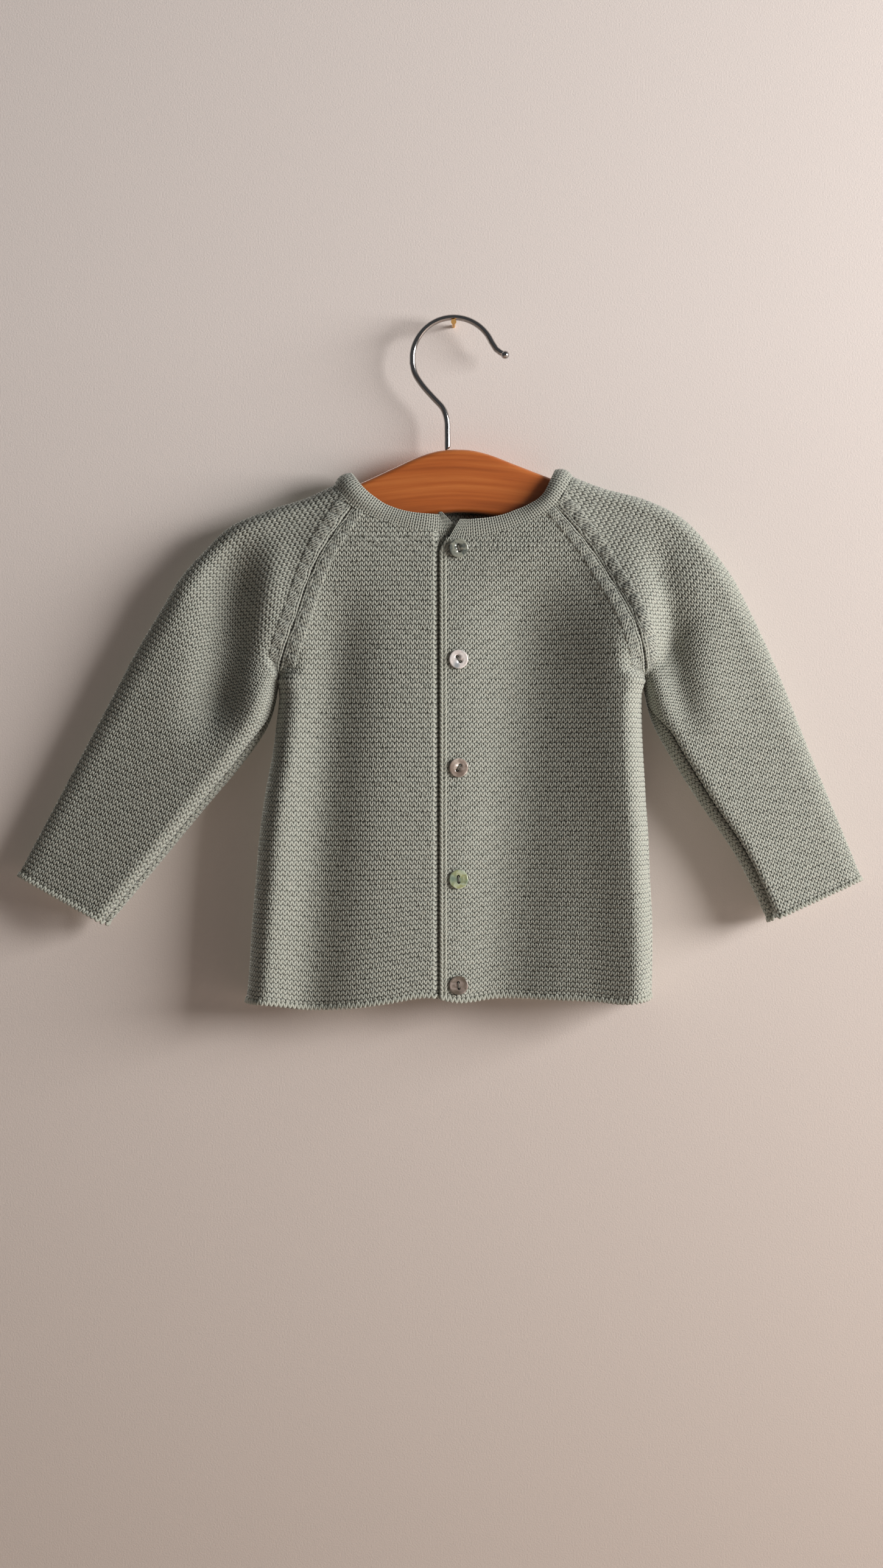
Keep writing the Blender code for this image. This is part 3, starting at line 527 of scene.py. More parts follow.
def wave(u):
    # the middle of the yarn in a ridge, in ridges: half circles above and below in turn
    quarter = knit["stitch"] / 4
    over = (u - np.round(u)) * knit["stitch"]
    above = np.abs(over) < quarter
    over = np.where(above, over, knit["stitch"] / 2 - np.abs(over))
    height = np.sqrt(np.clip(1 - (over / quarter) ** 2, 0, 1))
    return np.where(above, height, -height) * knit["rise"] / knit["ridge"]


def garterRelief(u, ridge):
    # 1 on the yarn's crest and 0 in the holes; the ridges reach into each other
    quarter = knit["stitch"] / 4
    nearest = 1.0
    for row in (np.floor(ridge), np.floor(ridge) + 1):
        off = ridge - row
        shifted = np.where(off > 0, u, u + 0.5)
        over = (shifted - np.round(shifted)) * knit["stitch"]
        up = off * knit["ridge"] * quarter / knit["rise"]
        nearest = np.minimum(nearest, np.abs(np.hypot(over, up) - quarter) / knit["yarn"])
    return np.sqrt(1 - nearest**2)


def uneven(u, ridge):
    # hand-made stitches never lie quite alike
    row = np.round(ridge)
    shift = 1.2 * np.sin(row * row) + 0.8 * np.sin(0.9 * row + 1.7 * np.sin(0.53 * u))
    shift = shift + np.sin(1.3 * u + 2.9 * row)
    lift = np.sin(0.37 * u + 2.3 * np.sin(0.41 * ridge)) + np.sin(1.1 * u + 4.1 * row)
    return knit["sway"] * shift / 2, knit["sway"] * lift / 2.6


def seamGap(cut, row):
    wider = np.exp(-(((row - cut["raglan"][0]) / cut["underarmReach"]) ** 2))
    return knit["seamGap"] / 2 + knit["underarmGap"] * wider


def garterShare(ridge, fromSeam, overUnderarm):
    # the garter stitch fades under the loops of the edge, and under the smooth stitches at a raglan line
    underBand = ease((raglanBand["width"] - raglanBand["lap"] - fromSeam) / raglanBand["lapFade"])
    underBand = underBand * ease(overUnderarm / raglanBand["lapFade"])
    overHem = ease((ridge - knit["hemRidges"]) / knit["hemFade"] + 0.5)
    return overHem * (1 - raglanBand["lapSunk"] * underBand)


def panelFace(cut, side, face):
    # one face of a panel: columns of stitches from its inner end or upper edge, ridges across them
    samples, rowSamples = knit["samples"][face], cut["rowSamples"][face]
    span = cut["spanAt"](side, face, cut["rowAt"](np.arange(cut["ridges"])))
    u = np.arange(int(span.max() / knit["stitch"] * samples) + 2) / samples
    step = np.arange(cut["ridges"] * rowSamples + 1) / rowSamples
    u, step = np.meshgrid(u, step)
    row = cut["rowAt"](step)
    slid = cut["slideAt"](side, face, row) - cut["slideAt"](side, face, cut["rowAt"](0.0))
    away = np.clip(u * knit["stitch"] - slid, 0, cut["spanAt"](side, face, row) - seamGap(cut, row))
    top = cut["topAt"](side, face, away, row)
    u = (away + cut["slideAt"](side, face, row)) / knit["stitch"]
    shift, raised = uneven(u, step)
    ridge = np.clip(step + wave(u + shift) - raised, -knit["rise"] / knit["ridge"], top)
    row = cut["rowAt"](ridge)
    span = cut["spanAt"](side, face, row)
    away = np.minimum(away, span - seamGap(cut, row))
    u = (away + cut["slideAt"](side, face, row)) / knit["stitch"]
    points, normal = clothAt(cut, side, face, away, row)
    shift, raised = uneven(u, ridge)
    shown = garterShare(ridge, span - away, (row - cut["raglan"][0]) / cut["rowHeight"])
    u, ridge = u + shift, ridge + raised
    relief = knit["lift"] * (shown * garterRelief(u, ridge) - 1) + knit["crest"]
    relief = relief - knit["seamSink"] * np.exp(-(((span - away) / knit["seamReach"]) ** 2))
    return points, normal, relief, np.stack([u, ridge, shown], axis=-1)


def underarmPinch(points):
    pinch = np.ones(points.shape[:2])
    for side in outwards:
        underarm = np.array([float(smoothAt(body["raglan"], side, body["underarm"])), 0, body["underarm"]])
        away = np.linalg.norm(points - underarm, axis=-1)
        pinch -= knit["pinch"] * np.exp(-((away / knit["pinchReach"]) ** 2))
    return pinch


def knitted(name, points, normal, relief, stitches, *materials):
    pinch = underarmPinch(points)
    outer = points + normal * ((knit["wall"] / 2 + relief) * pinch)[..., None]
    inner = points - normal * knit["wall"] / 2
    flat = stitches[..., :2]
    places = (flat - flat.min((0, 1))) / np.ptp(flat, (0, 1))
    places = np.concatenate([places, 0 * flat[..., :1]], axis=-1)
    return closedWall(name, outer, inner, stitches, places, knit["coarse"], *materials)


def neckRidge(side, face, x):
    return (body["neck"] + neckLine(side, face, x) - body["hem"]) / knit["ridge"]


# how the rows of a panel are counted: the body's by their height, a sleeve's by ridges from the cuff
cuts = {
    "body": {
        "surface": bodySurface,
        "ridges": math.ceil((body["neck"] - body["hem"]) / knit["ridge"]),
        "rowAt": lambda ridge: np.clip(body["hem"] + ridge * knit["ridge"], body["hem"] - 1, body["neck"]),
        "rowHeight": knit["ridge"],
        "rowStep": 1.0,
        "rowSamples": {"front": 3, "back": 2},
        "raglan": (body["underarm"], body["neck"]),
        "underarmReach": 5.0,
        "spanAt": lambda side, face, z: bodySpan(side, face, z)[5],
        "topAt": lambda side, face, away, z: neckRidge(side, face, bodySurface(side, face, away, z)[..., 0]),
        "slideAt": lambda side, face, z: outwards[side] * frontEdgeX(side, z) * (face == "front"),
        "turn": -1,
    },
    "sleeve": {
        "surface": sleeveSurface,
        "ridges": int(sleeve["neck"]),
        "rowAt": lambda ridge: ridge,
        "rowHeight": 1,
        "rowStep": 0.3,
        "rowSamples": {"front": 3, "back": 3},
        "raglan": (sleeve["underarm"], sleeve["neck"]),
        "underarmReach": 1.7,
        "spanAt": lambda side, face, ridge: sleeveSpan(side, face, ridge)["span"],
        "topAt": lambda side, face, away, ridge: sleeve["neck"],
        "slideAt": lambda side, face, ridge: 0.0,
        "turn": 1,
    },
}


def wholeWidth(first, second):
    # two faces that share their first column; on the first the stitches count backwards
    first[3][..., 0] *= -1
    return tuple(np.concatenate([a[:, ::-1], b[:, 1:]], axis=1) for a, b in zip(first, second))


class Wire:
    # a socket that takes Python's own signs
    def __init__(self, paint, socket):
        self.paint = paint
        self.socket = socket

    def __add__(self, other):
        return self.paint.maths("ADD", self, other)

    def __sub__(self, other):
        return self.paint.maths("SUBTRACT", self, other)

    def __rsub__(self, other):
        return self.paint.maths("SUBTRACT", other, self)

    def __mul__(self, other):
        return self.paint.maths("MULTIPLY", self, other)

    def __truediv__(self, other):
        return self.paint.maths("DIVIDE", self, other)

    def __pow__(self, other):
        return self.paint.maths("POWER", self, other)

    __radd__ = __add__
    __rmul__ = __mul__


class Paint:
    # one material and its nodes
    def __init__(self, name):
        self.material = bpy.data.materials.new(name)
        self.material.use_nodes = True
        self.nodes = self.material.node_tree.nodes
        self.links = self.material.node_tree.links
        self.nodes.clear()

    def node(self, kind, settings, sockets, out=0):
        made = self.nodes.new(kind)
        for key, value in settings.items():
            if key == "stops":
                while len(made.color_ramp.elements) < len(value):
                    made.color_ramp.elements.new(0.5)
                for element, stop in zip(made.color_ramp.elements, value):
                    element.position, element.color = stop
            else:
                setattr(made, key, value)
        for key, value in sockets.items():
            if isinstance(value, Wire):
                self.links.new(value.socket, made.inputs[key])
            else:
                made.inputs[key].default_value = value
        return Wire(self, made.outputs[out]) if made.outputs else made

    def maths(self, operation, *values):
        return self.node("ShaderNodeMath", {"operation": operation}, dict(enumerate(values)))

    def blendColours(self, share, a, b):
        return self.node("ShaderNodeMix", {"data_type": "RGBA"}, {0: share, 6: a, 7: b}, 2)

    def place(self):
        return self.node("ShaderNodeTexCoord", {}, {}, "Object")

    def split(self, vector):
        separated = self.node("ShaderNodeSeparateXYZ", {}, {0: vector})
        return [Wire(self, output) for output in separated.socket.node.outputs]

    def noise(self, vector, scale, detail):
        return self.node("ShaderNodeTexNoise", {}, {"Vector": vector, "Scale": scale, "Detail": detail})

    def bump(self, height, distance):
        return self.node("ShaderNodeBump", {}, {"Height": height, "Distance": distance})

    def shaded(self, sockets):
        surface = self.node("ShaderNodeBsdfPrincipled", {}, sockets)
        self.node("ShaderNodeOutputMaterial", {}, {"Surface": surface})
        return self.material


def srgb(r, g, b):
    return (*[((c / 255 + 0.055) / 1.055) ** 2.4 if c > 10 else c / 3294 for c in (r, g, b)], 1)


yarn = {
    # painted shade: the colour that the holes between the stitches are painted towards
    "dark": srgb(26, 27, 22),
    "heatherWarm": srgb(203, 198, 183),
    "heatherCool": srgb(162, 172, 162),
    "heatherSize": 900.0,
    "looseHeatherSize": 1100.0,
    "fuzzSize": 2600.0,
    "fuzzHeight": 0.12,
    "plyHeight": 0.1,
    "plyShade": 0.25,  # how much painted shade darkens the grooves between the plies
    "roughness": 0.92,
    "sheen": 0.25,
    "sheenRoughness": 0.6,
    "gloss": 0.2,
}
smooth = {
    "slant": 0.9,  # rows that a leg climbs over its width
    "lean": 0.3,  # how far a leg leans over its length
    "half": 0.49,
    "end": 0.22,  # how much a leg sinks at its ends
    "paintedHeight": 0.45,
    "holeShadePower": 1.1,
# how sharply the painted shade darkens the gaps between the legs
}


def stitchCoordinates(paint):
    return paint.split(paint.node("ShaderNodeAttribute", {"attribute_name": "stitch"}, {}, "Vector"))


def woolShader(paint, colour, height):
    return paint.shaded(
        {
            "Base Color": colour,
            "Roughness": yarn["roughness"],
            "Sheen Weight": yarn["sheen"],
            "Sheen Roughness": yarn["sheenRoughness"],
            "Specular IOR Level": yarn["gloss"],
            "Normal": paint.bump(height, mm),
        }
    )


def woolFinish(paint, relief, ply, stitch):
    # heathered wool: warm and cool fibres in the yarn, with painted shade in the holes and in the grooves
    # between the plies
    place = paint.place()
    heather = paint.noise(place, yarn["heatherSize"], 3.0)
    fibres = paint.blendColours(heather, yarn["heatherWarm"], yarn["heatherCool"])
    # painted shade: the lower the relief and the deeper in a ply groove, the nearer the colour comes to the
    # dark hole colour
    shade = relief ** stitch["holeShadePower"] * (ply * yarn["plyShade"] + (1 - yarn["plyShade"]))
    fuzz = paint.noise(place, yarn["fuzzSize"], 2.0)
    height = relief * stitch["paintedHeight"] + ply * yarn["plyHeight"] + fuzz * yarn["fuzzHeight"]
    return woolShader(paint, paint.blendColours(shade, yarn["dark"], fibres), height)


def garterPaint():
    # yarn in half circles above and below in turn, as in garterRelief
    paint = Paint("garterStitch")
    u, ridge, shown = stitchCoordinates(paint)
    quarter = knit["stitch"] / 4
    lower = paint.maths("FLOOR", ridge)
    ways = []
    for row in (lower, lower + 1.0):
        off = ridge - row
        shifted = u + paint.maths("LESS_THAN", off, 0.0) * 0.5
        over = (shifted - paint.maths("ROUND", shifted)) * knit["stitch"]
        up = off * (knit["ridge"] * quarter / knit["rise"])
        away = ((over * over + up * up) ** 0.5 - quarter) / knit["yarn"]
        ply = paint.maths("SINE", paint.maths("ARCTAN2", up, over) * 3.0 + away * 2.2) * 0.5 + 0.5
        ways.append((paint.maths("MAXIMUM", 1.0 - away * away, 0.0) ** 0.5, ply))
    (low, lowPly), (high, highPly) = ways
    above = paint.maths("LESS_THAN", low, high)
    ply = lowPly + (highPly - lowPly) * above
    relief = paint.maths("MAXIMUM", low, high) * shown + (1.0 - shown) * knit["plain"]
    return woolFinish(paint, relief, ply, knit)


def smoothPaint():
    # stockinette, as in the neckband and beside the raglan lines: each stitch has two slanting legs
    paint = Paint("stockinetteStitch")
    u, row, _ = stitchCoordinates(paint)
    leg = u * 2.0
    across = leg - paint.maths("FLOOR", leg) - 0.5
    side = paint.maths("PINGPONG", paint.maths("FLOOR", leg), 1.0) * 2.0 - 1.0
    along = row + across * side * smooth["slant"]
    along = along - paint.maths("FLOOR", along) - 0.5
    middle = (across - along * side * smooth["lean"]) / smooth["half"]
    rounded = paint.maths("MAXIMUM", 1.0 - middle * middle, 0.0) ** 0.5
    end = along * along * 4.0
    relief = rounded * (1.0 - end * end * smooth["end"])
    ply = paint.maths("SINE", (along * 1.6 + middle * side * 0.35) * (2 * math.pi)) * 0.5 + 0.5
    return woolFinish(paint, relief, ply, smooth)


print("materials")
garter = garterPaint()
stockinette = smoothPaint()

# panel, way of counting its rows, viewer's side and face
faces = (
    ("front_right", "body", "left", "front"),
    ("front_left", "body", "right", "front"),
    ("back", "body", "left", "back"),
    ("back", "body", "right", "back"),
    ("sleeve_right", "sleeve", "left", "front"),
    ("sleeve_right", "sleeve", "left", "back"),
    ("sleeve_left", "sleeve", "right", "front"),
    ("sleeve_left", "sleeve", "right", "back"),
)
panels = {}
for pieceName, kind, side, face in faces:
    panels.setdefault(pieceName, []).append(panelFace(cuts[kind], side, face))
for pieceName, made in panels.items():
    whole = wholeWidth(*made) if len(made) > 1 else made[0]
    mesh = knitted(pieceName, *whole, garter, garter)
    finishPiece("knit_" + pieceName, mesh, "knit", pieceName)
    print("knitted", pieceName, len(mesh.polygons), "faces")

sewn = {}


def sewOn(title, meshOn):
    # a piece of yarn or stitches for every face of a panel
    for pieceName, kind, side, face in faces:
        name = title.format(piece=pieceName, kind=kind, side=side, face=face)
        made = finishPiece(name, meshOn(name, kind, side, face), "knit")
        sewn.setdefault(pieceName, []).append(made)


def stockinetteRelief(u, row):
    # a leg is a slanting oval
    leg = 2 * u
    across = leg - np.floor(leg) - 0.5
    side = np.where(np.floor(leg) % 2 == 0, -1, 1)
    along = row + across * side * smooth["slant"]
    along = along - np.floor(along) - 0.5
    middle = (across - along * side * smooth["lean"]) / smooth["half"]
    return np.sqrt(np.clip(1 - middle**2, 0, 1)) * (1 - smooth["end"] * (2 * along) ** 4)


def sinking(rim, distance):
    depth, reach = rim
    return depth * (1 - ease(distance / reach))


def raglanStrip(name, kind, side, face):
    # the smooth stitches beside a raglan line
    cut = cuts[kind]
    share = np.linspace(raglanBand["start"], 1, raglanBand["along"])
    distance = np.linspace(raglanBand["from"], raglanBand["width"], raglanBand["across"])
    distance, share = np.meshgrid(distance, share)
    row = mix(*cut["raglan"], share)
    slanted = distance * raglanBand["spread"][kind]
    away = cut["spanAt"](side, face, row) - slanted
    points, normal = clothAt(cut, side, face, away, row)
    seam = cut["surface"](side, face, away[:, :1] + slanted[:, :1], row[:, :1])[:, 0]
    along = lengthAlong(seam)[:, None] + raglanBand["skew"][kind] * slanted
    leaf = along / raglanBand["leafPitch"]
    leaf = leaf - np.floor(leaf)
    outside = distance > raglanBand["leafFrom"]
    short, long = raglanBand["wanderWaves"]
    stray = raglanBand["wander"] * (np.sin(along / short) + np.sin(along / long + 0.8 * distance))
    leg = (distance + stray) / raglanBand["leg"] + np.where(outside, raglanBand["leafLean"] * leaf, 0)
    stitchRow = along / raglanBand["row"]
    start = np.clip(raglanBand["leafStart"] * leaf, 0, 1) ** raglanBand["leafRound"]
    bump = start * np.clip(raglanBand["leafEnd"] * (1 - leaf), 0, 1) ** raglanBand["leafRound"]
    bump = bump * ease((raglanBand["width"] - distance) / raglanBand["leafFade"])
    raised = stockinetteRelief(leg / 2, stitchRow) - raglanBand["legMiddle"]
    relief = raglanBand["base"] + raglanBand["legHeight"] * raised
    relief = relief + np.where(outside, raglanBand["leafHeight"] * (bump - raglanBand["leafMiddle"]), 0)
    relief = relief - sinking(raglanBand["outerRim"], raglanBand["width"] - distance)
    relief = relief - sinking(raglanBand["seamRim"], distance)
    relief = relief - sinking(raglanBand["startRim"], share - raglanBand["start"])
    pinch = underarmPinch(points)
    outer = points + normal * ((knit["wall"] / 2 + relief) * pinch)[..., None]
    inner = points + normal * (knit["wall"] / 2 * pinch - raglanBand["root"])[..., None]
    stitches = np.stack([leg / 2, stitchRow, distance], axis=-1)
    places = np.stack([distance / raglanBand["width"], share, 0 * share], axis=-1)
    return closedWall(name, outer, inner, stitches, places, raglanBand["coarse"], stockinette, stockinette)


sewOn("raglan_{kind}_{side}_{face}", raglanStrip)
print("raglan stitches")

neckband = {
    "thick": 2.8,
    "lean": table(
        "x inward up",
        (0, 0, 10.3), (14, 1, 9.9), (27, 2.2, 8.7), (38, 3.6, 8), (46, 4.8, 8.2), (54, 6, 10.2),
        (61, 7.4, 11.2), (67, 9.4, 9.8), (72, 10.8, 9.2),
    ),
    "narrowing": 0.12,
    "drop": {"left": 1.6, "right": 4.8},  # how much lower the band stands on a shoulder
    "endSlant": {"left": -11.0, "right": 6.0},
    "endReach": 16.0,
    "endRise": {"left": 2.0, "right": 0.4},
    "leg": 1.58,
    "row": 2.1,
    "samples": 3,  # grid lines to a leg
    "height": 12.0,
    "relief": 0.45,
    "bulge": 0.8,  # how far the band rounds out between its seam and its free edge
    "shoulderBulge": 2.4,
    "shoulderThick": 4.2,
    "shoulder": (40.0, 62.0),  # the shoulder's reach from the middle
    "turnIn": 1.2,  # how far the band reaches down over its seam
    "edgeRound": 0.12,  # how far the free edge rounds up over the band's height, as a share of it
    "seamPoints": 160,
    "smoothing": 22,
}


def neckSeam():
    # the line that the band stands on, from the under front's edge round the neck to the upper front's edge
    parts = []
    for kind, side, face, way in (
        ("body", "left", "front", 1),
        ("sleeve", "left", "front", -1),
        ("sleeve", "left", "back", 1),
        ("body", "left", "back", -1),
        ("body", "right", "back", 1),
        ("sleeve", "right", "back", -1),
        ("sleeve", "right", "front", 1),
        ("body", "right", "front", -1),
    ):
        cut = cuts[kind]
        row = np.full(neckband["seamPoints"], cut["raglan"][1])
        away = np.linspace(0, 1, len(row)) * cut["spanAt"](side, face, row)
        parts.append(cut["surface"](side, face, away, row)[::way])
    return np.concatenate(parts)


def smoothed(values, width):
    # a running mean over width grid lines, with its ends held
    window = np.hanning(2 * width + 1)
    padded = np.concatenate([np.repeat(values[:1], width, 0), values, np.repeat(values[-1:], width, 0)])
    return sum(padded[k : k + len(values)] * w for k, w in enumerate(window)) / window.sum()


def neckbandMesh():
    path = neckSeam()
    travelled = lengthAlong(path)
    columns = int(travelled[-1] / neckband["leg"] * neckband["samples"])
    at = np.linspace(0, travelled[-1], columns)
    seam = np.stack([np.interp(at, travelled, path[:, k]) for k in range(3)], axis=-1)
    seam = smoothed(seam, neckband["smoothing"])
    x, y = seam[:, 0], seam[:, 1]
    inward = -np.sign(x) * smoothAt(neckband["lean"], "inward", np.abs(x))
    rise = 0 * x
    for side, end in (("left", 0), ("right", -1)):
        half = (np.arange(columns) < columns / 2) == (end == 0)
        near = ease(1 - np.abs(x - x[end]) / neckband["endReach"]) * half * (y < 0)
        inward = inward + neckband["endSlant"][side] * near
        rise = rise + neckband["endRise"][side] * near
    first, last = neckband["shoulder"]
    shoulder = ease((np.abs(x) - first) / (last - first))
    drop = np.where(x < 0, neckband["drop"]["left"], neckband["drop"]["right"]) * shoulder
    upward = smoothAt(neckband["lean"], "up", np.abs(x)) - drop + rise
    lean = np.stack([inward, -neckband["narrowing"] * y, upward], axis=-1)
    normal = unit(np.cross(np.gradient(seam, axis=0), lean))
    normal = smoothed(normal * np.sign(np.sum(normal[:, 1] * y)), neckband["smoothing"])
    # the section, once round: outside, free edge, inside and seam
    half = mix(neckband["thick"], neckband["shoulderThick"], shoulder) / 2
    bulge = mix(neckband["bulge"], neckband["shoulderBulge"], shoulder)
    turn = np.linspace(0, math.pi, 7)
    section = np.concatenate(
        [
            [(share, 1.0, 0.0) for share in np.linspace(-neckband["turnIn"] / neckband["height"], 1, 24)],
            [(1 + neckband["edgeRound"] * math.sin(a), math.cos(a), math.sin(a)) for a in turn[1:-1]],
            [(share, -1.0, 0.0) for share in np.linspace(1, 0, 8)],
            [(0.0, 0.0, 0.0)],
        ]
    )
    section = np.concatenate([section, section[:1]])
    share, side, over = [section[:, k][:, None] for k in range(3)]
    upward = unit(lean)
    base = seam + lean * np.minimum(share, 1)[..., None]
    direction = normal * side[..., None] + upward * over[..., None]
    swell = bulge * np.sin(math.pi * np.clip(share, 0, 1)) * side
    u = at / neckband["leg"] / 2
    row = share * neckband["height"] / neckband["row"] + 0 * u
    u = u + 0 * share
    relief = neckband["relief"] * (stockinetteRelief(u, row) - 0.5) * (np.abs(side) + over)
    # the inside has the thin wall everywhere, and the outside swells at the shoulders
    reach = np.where(side < 0, neckband["thick"] / 2, half + 0 * side)
    points = base - upward * (half * over)[..., None] + direction * reach[..., None]
    points = points + normal * np.maximum(swell, 0)[..., None] + direction * relief[..., None]
    places = np.stack([u / u.max(), np.linspace(0, 1, len(section))[:, None] + 0 * u, 0 * u], axis=-1)
    stitches = np.stack([u, row, 0 * u], axis=-1)
    bm = newCloth()
    layGrid(bm, points, stitches, places, range(len(section)), range(columns), 0)
    closeUp(bm)
    return clothMesh("neckband", bm, stockinette)


band = finishPiece("knit_neckband", neckbandMesh(), "neckband_knit", "neckband")
print("neckband", len(band.data.polygons), "faces")


# single strands of yarn: the loops of hem and cuffs, the chain along the front edge, and thread
def strandPaint(name, light, dark, fuzzHeight):
    paint = Paint(name)
    place = paint.place()
    heather = paint.noise(place, yarn["looseHeatherSize"], 3.0)
    fuzz = paint.noise(place, yarn["fuzzSize"], 2.0)
    return woolShader(paint, paint.blendColours(heather, dark, light), fuzz * fuzzHeight)


strands = {
    "radius": 0.92,
    "loopPitch": 2.7,
    "loopRidges": 0.82,  # how tall the loops of hem and cuffs are
    "loopStep": 0.33,
    "loopInset": 0.3,
    "loopPairs": 0.14,  # how much two loops beside each other differ
    "loopSway": 0.08,
    "loopDrop": 0.12,
    "loopLift": 0.42,
    "loopTuck": 0.5,  # how deep a loop goes in at its top
    "chainPitch": 5.4,  # length of a full twist of the chain's legs
    "chainRadius": 0.48,
    "chainStrand": 0.8,
    "chainX": 1.95,  # from the front's edge to the middle of the chain
    "chainLeg": 1.12,  # from there to the middle of each leg
    "chainLift": 0.95,
    "chainStep": 0.5,
    "chainEnds": (0.5, 1.5),  # past the hem, and short of the neckline
}
looseYarn = strandPaint("looseYarn", srgb(196, 195, 181), srgb(134, 138, 127), 0.3)
sewingThread = strandPaint("sewingThread", srgb(132, 128, 116), srgb(84, 82, 74), 0.1)


def strandMesh(name, paths, radius, material, roundness=1):
    curve = bpy.data.curves.new(name, "CURVE")
    curve.dimensions = "3D"
    curve.bevel_depth = radius * mm
    curve.bevel_resolution = roundness
    curve.use_fill_caps = True
    for path in paths:
        spline = curve.splines.new("POLY")
        spline.points.add(len(path) - 1)
        spline.points.foreach_set("co", np.column_stack([path * mm, np.ones(len(path))]).ravel())
    bent = linked(name, curve)
    bpy.context.view_layer.update()
    mesh = bpy.data.meshes.new_from_object(bent.evaluated_get(bpy.context.evaluated_depsgraph_get()))
    bpy.data.objects.remove(bent)
    bm = bmesh.new()
    bm.from_mesh(mesh)
    bmesh.ops.remove_doubles(bm, verts=bm.verts[:], dist=touching)
    bmesh.ops.recalc_face_normals(bm, faces=bm.faces[:])
    bm.to_mesh(mesh)
    bm.free()
    mesh.name = name
    mesh.materials.clear()
    mesh.materials.append(material)
    return mesh


def edgeLoops(name, kind, side, face):
    # the cast-on edge: a strand that swings down to the edge and up again
    cut = cuts[kind]
    span = float(cut["spanAt"](side, face, cut["rowAt"](np.array([0.0])))[0]) - 2 * strands["loopInset"]
    away = np.linspace(strands["loopInset"], span, int(span / strands["loopStep"]))
    swing = np.cos(2 * math.pi * away / strands["loopPitch"])
    pairs = strands["loopPairs"] * np.cos(math.pi * away / strands["loopPitch"])
    height = strands["loopRidges"] * (1 + pairs + strands["loopSway"] * np.sin(away / 5.9 + 1.0))
    ridge = height * (0.5 + 0.5 * swing) - strands["loopDrop"]
    points, normal = clothAt(cut, side, face, away, cut["rowAt"](ridge))
    lift = knit["wall"] / 2 + strands["loopLift"] - strands["loopTuck"] * (0.5 + 0.5 * swing)
    return strandMesh(name, [points + normal * lift[:, None]], strands["radius"], looseYarn)


sewOn("edge_loops_{piece}_{side}_{face}", edgeLoops)


def frontChain(side):
    # chain stitches along the edge of the upper front: two legs, each twisted the other way
    below, short = strands["chainEnds"]
    top = body["neck"] - body["neckDip"]["front"][side] - short
    z = np.arange(body["hem"] - below, top, strands["chainStep"])
    paths = []
    for way in (-1, 1):
        away = np.full(len(z), strands["chainX"] + way * strands["chainLeg"])
        points, normal = clothAt(cuts["body"], side, "front", away, z)
        for turn in (0, math.pi):
            angle = 2 * math.pi * z / strands["chainPitch"] + turn
            swing = np.stack([-way * np.cos(angle), 0 * z, 0 * z], axis=-1) * strands["chainRadius"]
            lift = strands["chainLift"] + strands["chainRadius"] * np.sin(angle)
            paths.append(points + swing + normal * lift[:, None])
    return strandMesh("front_chain", paths, strands["chainStrand"], looseYarn)


sewn["front_left"].append(finishPiece("front_chain", frontChain("right"), "knit"))
print("loops and chain")

button = {
    "x": 2.9,
    "lift": 1.0,  # from the cloth's face to the back of a button
    "sides": 64,
    "hole": 0.95,
    "holeSides": 16,
    "holesApart": 3.5,
    "section": (  # radius and height, from the flat back round the rim to the dish that the holes are in
        (3.4, 0), (5.1, 0), (5.55, 0.25), (5.7, 0.7), (5.7, 1.35), (5.6, 1.62), (5.3, 1.8),
        (4.9, 1.82), (4.5, 1.78), (4.1, 1.71), (3.4, 1.69),
    ),
    "thread": 0.21,
    "threadApart": 0.34,
    "threadLift": 0.42,
    "threadDown": 0.5,
    "placed": table(
        "number height turn tilt",
        (1, -138.6, 14, 4), (2, -205.4, 32, -3), (3, -270.2, -28, 3), (4, -337, 4, -2),
        (5, -400.4, 7, 2),
    ),
}
# the middle, pale and deep colour of each button's shell
shells = {
    1: ((98, 104, 98), (150, 152, 138), (74, 80, 76)),
    2: ((226, 214, 208), (240, 232, 226), (150, 156, 160)),
    3: ((176, 160, 148), (214, 200, 188), (128, 110, 98)),
    4: ((166, 168, 118), (198, 206, 176), (112, 132, 116)),
    5: ((126, 114, 102), (158, 144, 136), (98, 88, 76)),
}
pearl = {"wanderSize": 210.0, "cloudSize": 120.0, "bands": 21.0, "drift": 9.0, "patch": 5.0, "deepest": 0.9}


def shellPaint(number):
    # mother-of-pearl: soft layers in wandering bands, glossy
    middle, pale, deep = [srgb(*colour) for colour in shells[number]]
    paint = Paint(f"shell_{number}")
    place = paint.place()
    wander = paint.noise(place, pearl["wanderSize"], 3.0)
    cloud = paint.noise(place, pearl["cloudSize"], 1.0)
    layer = paint.maths("SINE", wander * pearl["bands"] + cloud * pearl["drift"]) * 0.5 + 0.5
    base = paint.blendColours(layer, middle, pale)
    patch = paint.maths("MAXIMUM", (cloud - 0.5) * pearl["patch"], 0.0)
    patch = paint.maths("SMOOTH_MIN", patch, pearl["deepest"], 0.2)
    colour = paint.blendColours(patch, base, deep)
    return paint.shaded(
        {
            "Base Color": colour,
            "Roughness": 0.22,
            "Coat Weight": 0.6,
            "Coat Roughness": 0.06,
            "Specular IOR Level": 0.6,
            "Normal": paint.bump(layer, 0.04 * mm),
        }
    )


